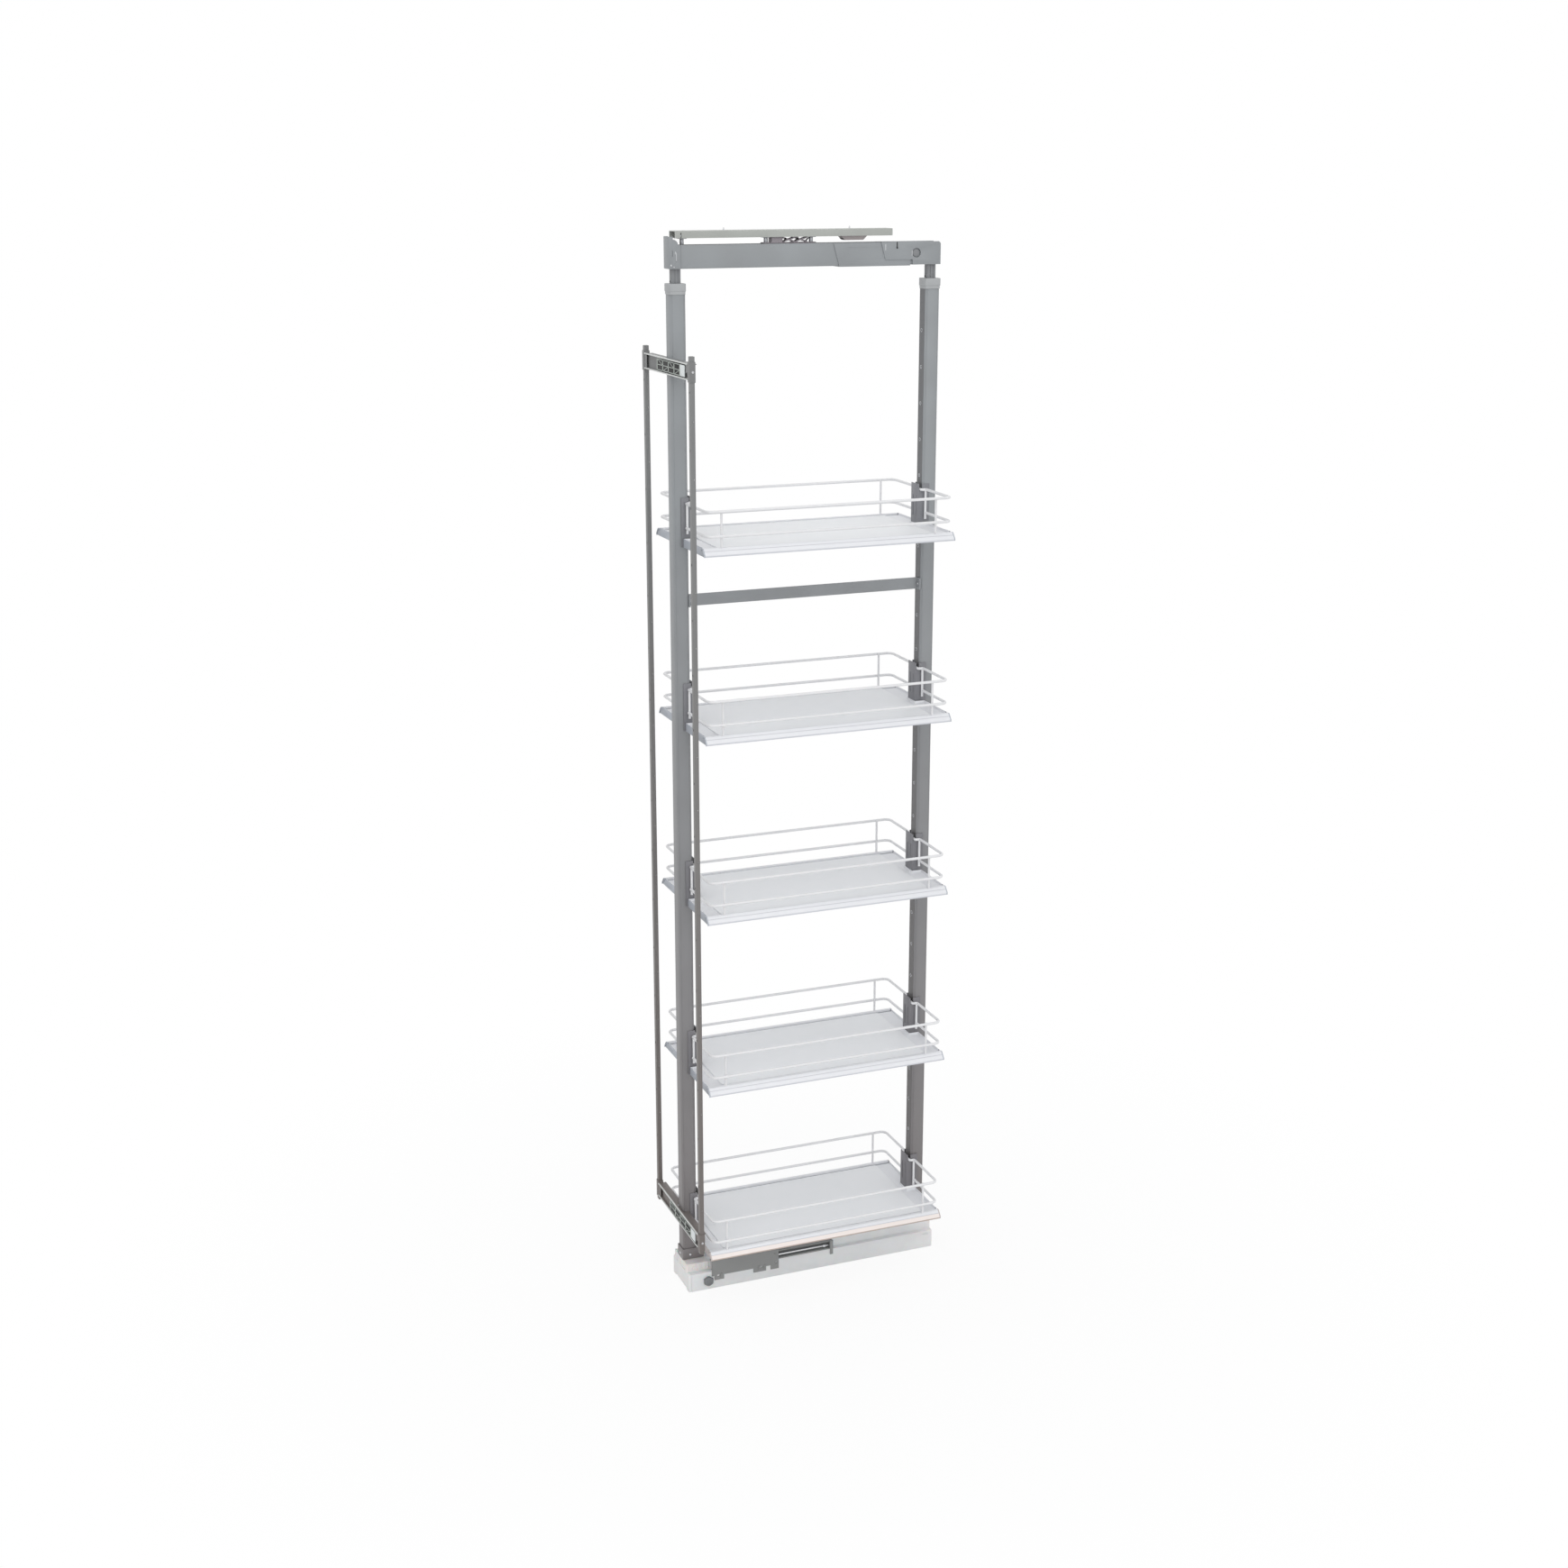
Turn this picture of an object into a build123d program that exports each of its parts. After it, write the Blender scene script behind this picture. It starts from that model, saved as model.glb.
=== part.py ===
"""Pull out pantry frame: a tall frame with five wire shelves on a floor runner and a top guide.

X is the width, Y the depth with the front at -Y, and Z is up from the cabinet's floor.
The origin is the middle of the floor rail's screw pattern.
"""

import os
from math import atan2, cos, degrees, hypot, radians, sin

from build123d import *

# Driving dimensions of the whole frame
shelf_length = 470.0
shelf_width = 255.0
shelf_count = 5
lowest_shelf_z = 104.0
post_top_z = 1853.0
height_travel = 400.0

# Clearances and stock
slide_gap = 0.3
shaft_gap = 0.08
overrun = 5.0
sheet = 1.5
rail_sheet = 2.0

# Flats that stand for the small round forms
wheel_sides = 18
bore_sides = 10
pin_sides = 8
rivet_sides = 6

# Floor runner
wheel_radius = 6.5
wheel_width = 8.0
wheel_side_gap = 1.0
axle_radius = 2.0
web_half_width = 10.0
lip_height = 2.0
floor_rail_front_inset = 10.0
floor_flange_reach = 16.0
floor_screw_spacing_x = 60.0
floor_screw_end_inset = 50.0
floor_screw_hole_radius = 2.75
middle_rail_lift = 2.0
middle_rail_back_gap = 14.0
rail_level_gap = 3.0
wheel_set_spacing = 110.0
wheel_set_margin = 14.0
end_stop_length = 6.0

track_height = 2 * (wheel_radius + slide_gap)
track_half_width = web_half_width + wheel_width + 2 * wheel_side_gap
rail_half_width = track_half_width + rail_sheet
lip_inner_x = web_half_width + 2 * wheel_side_gap
floor_track_top_z = rail_sheet + track_height
floor_rail_top_z = floor_track_top_z + lip_height
floor_axle_z = rail_sheet + slide_gap + wheel_radius
carriage_bottom_z = floor_rail_top_z + rail_level_gap
carriage_track_z = carriage_bottom_z + lip_height
carriage_axle_z = carriage_track_z + slide_gap + wheel_radius
carriage_plate_z = carriage_track_z + track_height
carriage_top_z = carriage_plate_z + rail_sheet

# White housing over the runner
housing_half_width = 45.5
housing_step_half_width = 35.0
housing_wall = 2.0
housing_bottom_z = 1.0
housing_step_z = 36.5
housing_top_z = 54.0
housing_back_margin = 6.0
front_cap_depth = 6.0
front_cap_margin = 1.0
front_block_margin = 16.0
foot_block_margin = 2.0
cap_relief_height = 3.0
cap_relief_half_width = 30.0
block_rib_count = 5
block_rib_depth = 0.8
block_rib_width = 3.0

# Posts and feet
post_end_inset = 12.0
post_half_width = 13.0
post_depth = 27.0
post_wall = 2.0
post_corner = 3.0
post_hole_radius = 2.5
post_hole_sides = 6
post_hole_pitch = 64.0
post_hole_first_z = 112.0
foot_height = 22.0
foot_overlap = 42.0
rivet_radius = 2.5
rivet_height = 1.0
rivet_z = 63.0
cap_height = 13.0
cap_proud = 1.5
cap_spigot = 8.0
cap_chamfer = 2.0

# Telescopic bars
bar_half_width = 7.0
bar_depth = 16.0
bar_wall = 1.5
bar_corner = 1.5
bar_overlap = 67.0
glide_height = 12.0
glide_chamfer = 2.0

# Cross brace
brace_shelf_gap = 107.0
brace_height = 21.0
brace_thickness = 3.0
brace_tab_width = 12.0
screw_head_radius = 3.0
screw_head_height = 1.8

# Top beam and its brackets
beam_lift = 37.0
beam_half_width = 12.0
beam_height = 39.0
beam_back_inset = 2.0
sleeve_front_y = 47.0
sleeve_slant = 11.0
sleeve_post_gap = 31.0
sleeve_drop = 1.5
sleeve_top_gap = 1.0
front_plate_rise = 14.0
front_plate_depth = 12.0
front_plate_fillet = 9.0
back_bracket_front_gap = 87.0
back_bracket_slant = 8.0
back_bracket_edge_rise = 9.0
back_bracket_foot_gap = 27.0
back_bracket_hole_gap = 20.0
back_bracket_hole_rise = 20.0
back_bracket_hole_radius = 7.5
back_bracket_slot_gap = 57.0
back_bracket_slot_width = 2.0
back_bracket_slot_depth = 9.0
bracket_corner = 5.0

# Top guide
top_rail_half_width = 15.0
top_rail_height = 12.0
top_rail_length = 398.0
top_rail_front_inset = 9.0
top_rail_lift = 11.0
top_rail_slot_half_width = 9.0
slide_bar_thickness = 4.0
slide_bar_length = 290.0
slide_bar_front_inset = 17.0
slide_bar_side_gap = 1.0
stem_radius = 3.5
stem_head_half_width = 7.0
stem_head_length = 14.0
stem_head_height = 3.0
front_roller_inset = 26.0
middle_stem_y = 73.0
back_roller_y = 10.0
roller_height = 9.0
roller_axle_radius = 2.5
roller_top_gap = 2.0
rail_screw_y_front = 149.0
rail_screw_y_back = 82.0
rail_screw_radius = 1.5
rail_screw_tip = 5.0
rail_screw_head_radius = 4.0
catch_slide_gap = 6.0
catch_length = 49.0
catch_height = 7.0
catch_slope = 7.0
catch_half_width = 8.0
guide_pad_front_y = 65.0
guide_pad_length = 20.0
strut_thickness = 2.0
strut_half_width = 6.0
strut_run = 22.0
strut_count = 2
guide_base_thickness = 1.6
guide_half_width = 8.0

# Door mount
door_bar_spacing = 240.0
door_bar_width = 10.0
door_bar_depth = 8.0
door_bar_bottom_z = 121.0
door_bar_post_drop = 98.0
door_hole_radius = 2.1
door_hole_sides = 6
door_hole_pitch = 96.0
door_hole_first_z = 160.0
door_mount_gap = 0.2
door_bar_middle_margin = 1.0
bracket_height = 25.0
bracket_sheet = 1.3
bracket_lip = 4.0
bracket_flange = 10.0
bracket_post_gap = 4.0
upper_bracket_drop = 38.0
lower_bracket_rise = 10.5
clip_height = 34.0
clip_sheet = 1.0
bracket_slot_length = 14.0
bracket_slot_radius = 2.8
adjuster_left_x = -41.0
adjuster_right_x = 101.0
adjuster_height = 19.0
adjuster_depth = 3.0
adjuster_frame = 1.5
adjuster_rib_width = 1.6
adjuster_rib_count = 8
adjuster_insert_width = 24.0
adjuster_screw_x = 8.0
adjuster_screw_radius = 2.4

# Side plate, damper and adjusting bolt
side_plate_sheet = 2.0
side_plate_front_inset = 45.0
side_plate_back_y = 69.0
side_plate_bottom_z = 18.0
side_plate_top_z = 58.0
side_plate_edge_z = 27.0
side_plate_tab_shares = ((0.04, 0.18), (0.62, 0.81), (0.88, 1.0))
damper_back_y = 44.0
damper_bottom_z = 37.0
damper_top_z = 55.0
damper_end_bottom_z = 26.0
damper_end_length = 6.0
damper_rod_radius = 2.5
damper_rod_z = 44.0
damper_rod_x = 41.0
damper_channel_depth = 10.5
hex_bolt_inset = 38.0
hex_bolt_z = 19.0
hex_across_flats = 17.0
hex_head_height = 6.0
hex_shank_radius = 4.0
hex_shank_inside = 8.0

# Shelves
top_shelf_drop = 433.0
tray_sheet = 1.2
tray_floor_z = 11.0
tray_rim_z = 14.0
tray_skirt_flare = 8.9
tray_rim_width = 6.0
tray_skirt_edge = 4.0
tray_end_inset = 2.0
tray_end_lip_z = 15.0
tray_notch_half_width = 16.0
tray_notch_gap = 9.0
panel_side_margin = 4.6
panel_end_margin = 11.0
panel_thickness = 1.5
panel_corner = 3.0
wire_radius = 2.5
upright_radius = 2.2
wire_sides = 6
wire_bend_chords = 2
wire_weld = 1.0
gallery_side_inset = 4.5
gallery_end_inset = 7.0
gallery_corner_radius = 12.0
top_wire_z = 76.0
low_wire_z = 34.0
upright_end_inset = 35.0
stub_bottom_z = 22.0
jog_outer_x = 19.5
jog_inner_x = 16.6
jog_post_gap = 4.2
carrier_height = 86.0
carrier_wrap = 13.0
carrier_notch_margin = 0.3

top_shelf_z = post_top_z - top_shelf_drop
shelf_pitch = (top_shelf_z - lowest_shelf_z) / (shelf_count - 1)
brace_z = top_shelf_z - brace_shelf_gap
post_hole_count = int((post_top_z - post_hole_first_z) / post_hole_pitch)
post_inner_y = shelf_length / 2 - post_end_inset
post_outer_y = post_inner_y + post_depth
post_middle_y = post_inner_y + post_depth / 2
floor_rail_front_y = post_outer_y - floor_rail_front_inset
floor_rail_back_y = post_outer_y
floor_screw_spacing_y = 2 * (post_outer_y - floor_screw_end_inset)
middle_rail_front_y = -floor_rail_front_y + end_stop_length
middle_rail_back_y = floor_rail_back_y - middle_rail_back_gap
middle_rail_length = middle_rail_back_y - middle_rail_front_y
housing_back_y = post_outer_y + housing_back_margin
front_cap_y = post_outer_y + front_cap_margin
front_block_back_y = post_inner_y - front_block_margin
beam_front_y = post_outer_y
beam_back_y = post_outer_y - beam_back_inset
sleeve_back_y = post_inner_y - sleeve_post_gap
back_bracket_front_y = post_inner_y - back_bracket_front_gap
back_bracket_foot_y = post_inner_y - back_bracket_foot_gap
back_bracket_hole_y = post_inner_y - back_bracket_hole_gap
back_bracket_slot_y = post_inner_y - back_bracket_slot_gap
top_rail_front_y = post_outer_y - top_rail_front_inset
slide_bar_front_y = post_outer_y - slide_bar_front_inset
front_roller_y = post_outer_y - front_roller_inset
door_bar_middle_y = post_outer_y + door_bar_middle_margin
side_plate_front_y = post_outer_y - side_plate_front_inset
hex_bolt_y = post_outer_y - hex_bolt_inset
foot_plate_z = housing_top_z + sheet
foot_half_width = post_half_width + slide_gap + sheet
beam_bottom_z = post_top_z + beam_lift
beam_top_z = beam_bottom_z + beam_height
top_rail_bottom_z = beam_top_z + top_rail_lift
top_rail_top_z = top_rail_bottom_z + top_rail_height
catch_front_y = slide_bar_length - slide_bar_front_y + catch_slide_gap
catch_back_y = catch_front_y + catch_length
door_bar_top_z = post_top_z - door_bar_post_drop
door_hole_count = int((door_bar_top_z - door_hole_first_z) / door_hole_pitch) + 1
upper_bracket_z = door_bar_top_z - upper_bracket_drop
lower_bracket_z = door_bar_bottom_z + lower_bracket_rise
ends = (-1, 1)
half = 1 / 2
quarter_turn = 90

os.makedirs("parts", exist_ok=True)


# Floor rail: a channel with flanges for the floor screws and lips over the wheels
with BuildPart() as floor_rail:
    with BuildSketch(Plane.XZ.offset(floor_rail_front_y)):
        flange_half_width = rail_half_width + floor_flange_reach
        Rectangle(2 * flange_half_width, rail_sheet, align=(Align.CENTER, Align.MIN))
        Rectangle(2 * rail_half_width, floor_rail_top_z, align=(Align.CENTER, Align.MIN))
        with Locations((0, rail_sheet)):
            Rectangle(
                2 * track_half_width, track_height,
                align=(Align.CENTER, Align.MIN), mode=Mode.SUBTRACT,
            )
        with Locations((0, floor_track_top_z)):
            Rectangle(
                2 * lip_inner_x, lip_height + overrun,
                align=(Align.CENTER, Align.MIN), mode=Mode.SUBTRACT,
            )
    extrude(amount=-(floor_rail_front_y + floor_rail_back_y))
    with Locations(Plane.XY.offset(rail_sheet)):
        with GridLocations(floor_screw_spacing_x, floor_screw_spacing_y, 2, 2):
            Hole(floor_screw_hole_radius, depth=rail_sheet)
floor_rail.part.label = "floor_rail"
export_step(floor_rail.part, "parts/floor_rail.step")

# Rubber stop at the back of the floor rail
with BuildPart() as rail_end_stop:
    with BuildSketch(Plane.XY.offset(rail_sheet)):
        with Locations((0, floor_rail_back_y - end_stop_length / 2)):
            Rectangle(2 * web_half_width, end_stop_length)
    extrude(amount=track_height)
    chamfer(rail_end_stop.edges().group_by(Axis.Z)[-1].sort_by(Axis.Y)[0], end_stop_length / 2)
rail_end_stop.part.label = "rail_end_stop"
export_step(rail_end_stop.part, "parts/rail_end_stop.step")

# Middle rail: a tube whose walls carry the axles of all four wheel sets
middle_rail_top_z = carriage_plate_z - slide_gap
floor_axle_back_y = middle_rail_back_y - wheel_set_margin
carriage_axle_front_y = middle_rail_front_y + wheel_set_margin
floor_axle_ys = (floor_axle_back_y - wheel_set_spacing, floor_axle_back_y)
carriage_axle_ys = (carriage_axle_front_y, carriage_axle_front_y + wheel_set_spacing)
axle_places = [(y, floor_axle_z) for y in floor_axle_ys]
axle_places += [(y, carriage_axle_z) for y in carriage_axle_ys]
with BuildPart() as middle_rail:
    middle_rail_height = middle_rail_top_z - rail_sheet - middle_rail_lift
    with BuildSketch(Plane.XZ.offset(-middle_rail_front_y)):
        with Locations((0, rail_sheet + middle_rail_lift)):
            Rectangle(2 * web_half_width, middle_rail_height, align=(Align.CENTER, Align.MIN))
        with Locations((0, 2 * rail_sheet + middle_rail_lift)):
            Rectangle(
                2 * (web_half_width - rail_sheet), middle_rail_height - 2 * rail_sheet,
                align=(Align.CENTER, Align.MIN), mode=Mode.SUBTRACT,
            )
    extrude(amount=-middle_rail_length)
    with BuildSketch(Plane.YZ.offset(-web_half_width - overrun)):
        with Locations(*axle_places):
            RegularPolygon(axle_radius + shaft_gap, bore_sides, major_radius=False)
    extrude(amount=2 * (web_half_width + overrun), mode=Mode.SUBTRACT)
middle_rail.part.label = "middle_rail"
export_step(middle_rail.part, "parts/middle_rail.step")


def make_wheel_set(axle_y, axle_z):
    """Two wheels on one axle, either side of the middle rail."""
    axle_half_length = track_half_width - wheel_side_gap / 2
    with BuildPart() as wheel_set:
        with BuildSketch(Plane.YZ.offset(-axle_half_length)):
            with Locations((axle_y, axle_z)):
                RegularPolygon(axle_radius, pin_sides)
        extrude(amount=2 * axle_half_length)
        for side in ends:
            inner_x = side * (web_half_width + wheel_side_gap)
            with BuildSketch(Plane.YZ.offset(inner_x)):
                with Locations((axle_y, axle_z)):
                    RegularPolygon(wheel_radius, wheel_sides)
            extrude(amount=side * wheel_width)
    return wheel_set.part


# Wheel sets: two in the floor rail's track and two in the carriage rail's track
wheel_sets = {
    "floor_wheels_middle": (floor_axle_ys[0], floor_axle_z),
    "floor_wheels_back": (floor_axle_ys[1], floor_axle_z),
    "carriage_wheels_front": (carriage_axle_ys[0], carriage_axle_z),
    "carriage_wheels_middle": (carriage_axle_ys[1], carriage_axle_z),
}
for name, (axle_y, axle_z) in wheel_sets.items():
    wheel_set_part = make_wheel_set(axle_y, axle_z)
    wheel_set_part.label = name
    export_step(wheel_set_part, f"parts/{name}.step")

# Carriage rail: the same channel turned over, running on the upper wheels
with BuildPart() as carriage_rail:
    with BuildSketch(Plane.XZ.offset(floor_rail_front_y)):
        with Locations((0, carriage_bottom_z)):
            Rectangle(
                2 * rail_half_width, carriage_top_z - carriage_bottom_z,
                align=(Align.CENTER, Align.MIN),
            )
        with Locations((0, carriage_track_z)):
            Rectangle(
                2 * track_half_width, track_height,
                align=(Align.CENTER, Align.MIN), mode=Mode.SUBTRACT,
            )
        with Locations((0, carriage_track_z)):
            Rectangle(
                2 * lip_inner_x, lip_height + overrun,
                align=(Align.CENTER, Align.MAX), mode=Mode.SUBTRACT,
            )
    extrude(amount=-(floor_rail_front_y + floor_rail_back_y))
carriage_rail.part.label = "carriage_rail"
export_step(carriage_rail.part, "parts/carriage_rail.step")

# White housing: a low wide cover with a narrower step that carries the rear foot
housing_front_y = front_cap_y - front_cap_depth
step_inner_half = housing_step_half_width - housing_wall
with BuildPart() as base_housing:
    with BuildSketch(Plane.XZ.offset(housing_front_y)):
        with Locations((0, housing_bottom_z)):
            Rectangle(
                2 * housing_half_width, housing_step_z - housing_bottom_z,
                align=(Align.CENTER, Align.MIN),
            )
            Rectangle(
                2 * (housing_half_width - housing_wall),
                housing_step_z - housing_bottom_z - housing_wall,
                align=(Align.CENTER, Align.MIN), mode=Mode.SUBTRACT,
            )
            Rectangle(
                2 * step_inner_half, housing_step_z,
                align=(Align.CENTER, Align.MIN), mode=Mode.SUBTRACT,
            )
    extrude(amount=-(housing_front_y + housing_back_y))
    with BuildSketch(Plane.XZ.offset(front_block_back_y)):
        with Locations((0, housing_step_z)):
            Rectangle(
                2 * housing_step_half_width, housing_top_z - housing_step_z,
                align=(Align.CENTER, Align.MIN),
            )
            Rectangle(
                2 * step_inner_half, housing_top_z - housing_step_z - housing_wall,
                align=(Align.CENTER, Align.MIN), mode=Mode.SUBTRACT,
            )
    extrude(amount=-(front_block_back_y + housing_back_y))
    with BuildSketch(Plane.YZ.offset(housing_half_width + overrun)):
        with Locations((-hex_bolt_y, hex_bolt_z)):
            RegularPolygon(hex_shank_radius + shaft_gap, bore_sides, major_radius=False)
    extrude(amount=-(housing_wall + 2 * overrun), mode=Mode.SUBTRACT)
base_housing.part.label = "base_housing"
export_step(base_housing.part, "parts/base_housing.step")

# Front cap of the housing, relieved underneath between two skids
with BuildPart() as front_cap:
    with BuildSketch(Plane.XZ.offset(housing_front_y)):
        with Locations((0, housing_bottom_z)):
            Rectangle(
                2 * housing_half_width, housing_step_z - housing_bottom_z,
                align=(Align.CENTER, Align.MIN),
            )
        with Locations((0, housing_bottom_z)):
            Rectangle(
                2 * cap_relief_half_width, cap_relief_height,
                align=(Align.CENTER, Align.MIN), mode=Mode.SUBTRACT,
            )
    extrude(amount=front_cap_depth)
    front_rim = front_cap.faces().sort_by(Axis.Y)[0].edges().filter_by(Axis.Z)
    chamfer(front_rim, front_cap_depth / 3)
front_cap.part.label = "front_cap"
export_step(front_cap.part, "parts/front_cap.step")

# Front block: the moulded end of the step, under the front post
with BuildPart() as front_block:
    with BuildSketch(Plane.XZ.offset(front_cap_y)):
        with Locations((0, housing_step_z)):
            Rectangle(
                2 * housing_step_half_width, housing_top_z - housing_step_z,
                align=(Align.CENTER, Align.MIN),
            )
            Rectangle(
                2 * (rail_half_width + slide_gap), carriage_top_z - housing_step_z,
                align=(Align.CENTER, Align.MIN), mode=Mode.SUBTRACT,
            )
    extrude(amount=-(front_cap_y - front_block_back_y))
    rib_span = front_cap_y - front_block_back_y
    groove_z = (carriage_top_z + housing_top_z) / 2
    with BuildSketch(Plane.YZ.offset(housing_step_half_width - block_rib_depth)):
        with Locations((-(front_cap_y + front_block_back_y) / 2, groove_z)):
            with GridLocations(rib_span / block_rib_count, 0, block_rib_count, 1):
                Rectangle(block_rib_width, (housing_top_z - carriage_top_z) / 2)
    extrude(amount=overrun, mode=Mode.SUBTRACT)
front_block.part.label = "front_block"
export_step(front_block.part, "parts/front_block.step")

# Rear block: fills the step above the carriage rail, under the rear post
with BuildPart() as rear_block:
    with BuildSketch(Plane.XY.offset(carriage_top_z)):
        with Locations((0, (front_block_back_y + floor_rail_back_y) / 2)):
            Rectangle(
                2 * (step_inner_half - foot_block_margin),
                floor_rail_back_y - front_block_back_y,
            )
    extrude(amount=housing_top_z - housing_wall - carriage_top_z)
rear_block.part.label = "rear_block"
export_step(rear_block.part, "parts/rear_block.step")


def make_foot(end):
    """U bracket round the lower end of a post; end is -1 at the front and 1 at the back."""
    outer_y = post_outer_y + slide_gap + sheet
    with BuildPart() as foot:
        with BuildSketch(Plane.XY.offset(housing_top_z)):
            with Locations((0, end * (outer_y - foot_overlap / 2))):
                Rectangle(2 * foot_half_width, foot_overlap)
        extrude(amount=foot_height)
        with BuildSketch(Plane.XY.offset(foot_plate_z)):
            with Locations((0, end * (outer_y - sheet - foot_overlap / 2))):
                Rectangle(2 * (foot_half_width - sheet), foot_overlap)
        extrude(amount=foot_height, mode=Mode.SUBTRACT)
        corner_edges = foot.edges().filter_by(Axis.Z).filter_by(
            lambda edge: abs(abs(edge.center().Y) - outer_y) < slide_gap
        )
        chamfer(corner_edges, sheet / 2)
    return foot.part


front_foot_part = make_foot(-1)
front_foot_part.label = "front_foot"
export_step(front_foot_part, "parts/front_foot.step")
rear_foot_part = make_foot(1)
rear_foot_part.label = "rear_foot"
export_step(rear_foot_part, "parts/rear_foot.step")


def make_post(end):
    """Hollow post with bevelled corners and a row of holes in its inner face."""
    with BuildPart() as post:
        with BuildSketch(Plane.XY.offset(foot_plate_z)):
            with Locations((0, end * post_middle_y)):
                outline = Rectangle(2 * post_half_width, post_depth)
            chamfer(outline.vertices(), post_corner)
            with Locations((0, end * post_middle_y)):
                Rectangle(
                    2 * (post_half_width - post_wall), post_depth - 2 * post_wall,
                    mode=Mode.SUBTRACT,
                )
        extrude(amount=post_top_z - foot_plate_z)
        row_z = post_hole_first_z + post_hole_pitch * (post_hole_count - 1) / 2
        hole_plane = Plane.XZ.offset(-end * (post_inner_y - overrun))
        with BuildSketch(hole_plane):
            with Locations((0, row_z)):
                with GridLocations(0, post_hole_pitch, 1, post_hole_count):
                    RegularPolygon(post_hole_radius, post_hole_sides)
        extrude(amount=-end * (overrun + post_wall + slide_gap), mode=Mode.SUBTRACT)
    return post.part


front_post_part = make_post(-1)
front_post_part.label = "front_post"
export_step(front_post_part, "parts/front_post.step")
rear_post_part = make_post(1)
rear_post_part.label = "rear_post"
export_step(rear_post_part, "parts/rear_post.step")

# Plastic caps on the posts, each with a spigot and the opening that guides its bar
with BuildPart() as post_caps:
    for end in ends:
        with BuildSketch(Plane.XY.offset(post_top_z)):
            with Locations((0, end * post_middle_y)):
                cap_outline = Rectangle(
                    2 * (post_half_width + cap_proud), post_depth + 2 * cap_proud
                )
            chamfer(cap_outline.vertices(), cap_chamfer)
        extrude(amount=cap_height)
        with BuildSketch(Plane.XY.offset(post_top_z)):
            with Locations((0, end * post_middle_y)):
                Rectangle(
                    2 * (post_half_width - post_wall - slide_gap),
                    post_depth - 2 * (post_wall + slide_gap),
                )
        extrude(amount=-cap_spigot)
        with BuildSketch(Plane.XY.offset(post_top_z - cap_spigot - overrun)):
            with Locations((0, end * post_middle_y)):
                Rectangle(2 * (bar_half_width + slide_gap), bar_depth + 2 * slide_gap)
        extrude(amount=cap_spigot + cap_height + 2 * overrun, mode=Mode.SUBTRACT)
post_caps.part.label = "post_caps"
export_step(post_caps.part, "parts/post_caps.step")

# Cross brace: a flat bar on edge with a tab bent over at each end
with BuildPart() as cross_brace:
    with BuildSketch(Plane.XY.offset(brace_z)):
        Rectangle(brace_thickness, 2 * post_inner_y)
        for end in ends:
            with Locations((brace_thickness / 2, end * (post_inner_y - brace_thickness / 2))):
                Rectangle(
                    brace_tab_width, brace_thickness, align=(Align.MIN, Align.CENTER)
                )
    extrude(amount=brace_height)
cross_brace.part.label = "cross_brace"
export_step(cross_brace.part, "parts/cross_brace.step")

# Rivets of the feet and screws of the brace's tabs
with BuildPart() as frame_rivets:
    brace_screw_x = brace_thickness / 2 + brace_tab_width / 2
    foot_outer_y = post_outer_y + slide_gap + sheet
    for end in ends:
        with BuildSketch(Plane.XZ.offset(-end * foot_outer_y)):
            with Locations((0, rivet_z)):
                RegularPolygon(rivet_radius, rivet_sides)
        extrude(amount=-end * rivet_height)
        for side in ends:
            with BuildSketch(Plane.YZ.offset(side * foot_half_width)):
                with Locations((end * post_middle_y, rivet_z)):
                    RegularPolygon(rivet_radius, rivet_sides)
            extrude(amount=side * rivet_height)
        with BuildSketch(Plane.XZ.offset(-end * (post_inner_y - brace_thickness))):
            with Locations((brace_screw_x, brace_z + brace_height / 2)):
                RegularPolygon(screw_head_radius, rivet_sides)
        extrude(amount=end * screw_head_height)
frame_rivets.part.label = "frame_rivets"
export_step(frame_rivets.part, "parts/frame_rivets.step")

# Inner bars: hollow, sliding in the posts' caps and carrying the top beam
bar_bottom_z = post_top_z - height_travel - bar_overlap
with BuildPart() as inner_bars:
    with BuildSketch(Plane.XY.offset(bar_bottom_z)):
        for end in ends:
            with Locations((0, end * post_middle_y)):
                bar_outline = Rectangle(2 * bar_half_width, bar_depth)
            chamfer(bar_outline.vertices(), bar_corner)
            with Locations((0, end * post_middle_y)):
                Rectangle(
                    2 * (bar_half_width - bar_wall), bar_depth - 2 * bar_wall,
                    mode=Mode.SUBTRACT,
                )
    extrude(amount=beam_bottom_z - bar_bottom_z)
inner_bars.part.label = "inner_bars"
export_step(inner_bars.part, "parts/inner_bars.step")

# Plastic glides under the bars, filling the posts' bores
with BuildPart() as bar_glides:
    with BuildSketch(Plane.XY.offset(bar_bottom_z)):
        for end in ends:
            with Locations((0, end * post_middle_y)):
                Rectangle(
                    2 * (post_half_width - post_wall - slide_gap),
                    post_depth - 2 * (post_wall + slide_gap),
                )
    extrude(amount=-glide_height)
    chamfer(bar_glides.edges().group_by(Axis.Z)[0], glide_chamfer)
bar_glides.part.label = "bar_glides"
export_step(bar_glides.part, "parts/bar_glides.step")

# Top beam: a channel open upwards, in which the guide rollers run
with BuildPart() as top_beam:
    with BuildSketch(Plane.XZ.offset(beam_front_y)):
        with Locations((0, beam_bottom_z)):
            beam_outline = Rectangle(
                2 * beam_half_width, beam_height, align=(Align.CENTER, Align.MIN)
            )
        chamfer(beam_outline.vertices().group_by(Axis.Y)[0], sheet)
        with Locations((0, beam_bottom_z + sheet)):
            Rectangle(
                2 * (beam_half_width - sheet), beam_height,
                align=(Align.CENTER, Align.MIN), mode=Mode.SUBTRACT,
            )
    extrude(amount=-(beam_front_y + beam_back_y))
top_beam.part.label = "top_beam"
export_step(top_beam.part, "parts/top_beam.step")

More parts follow.
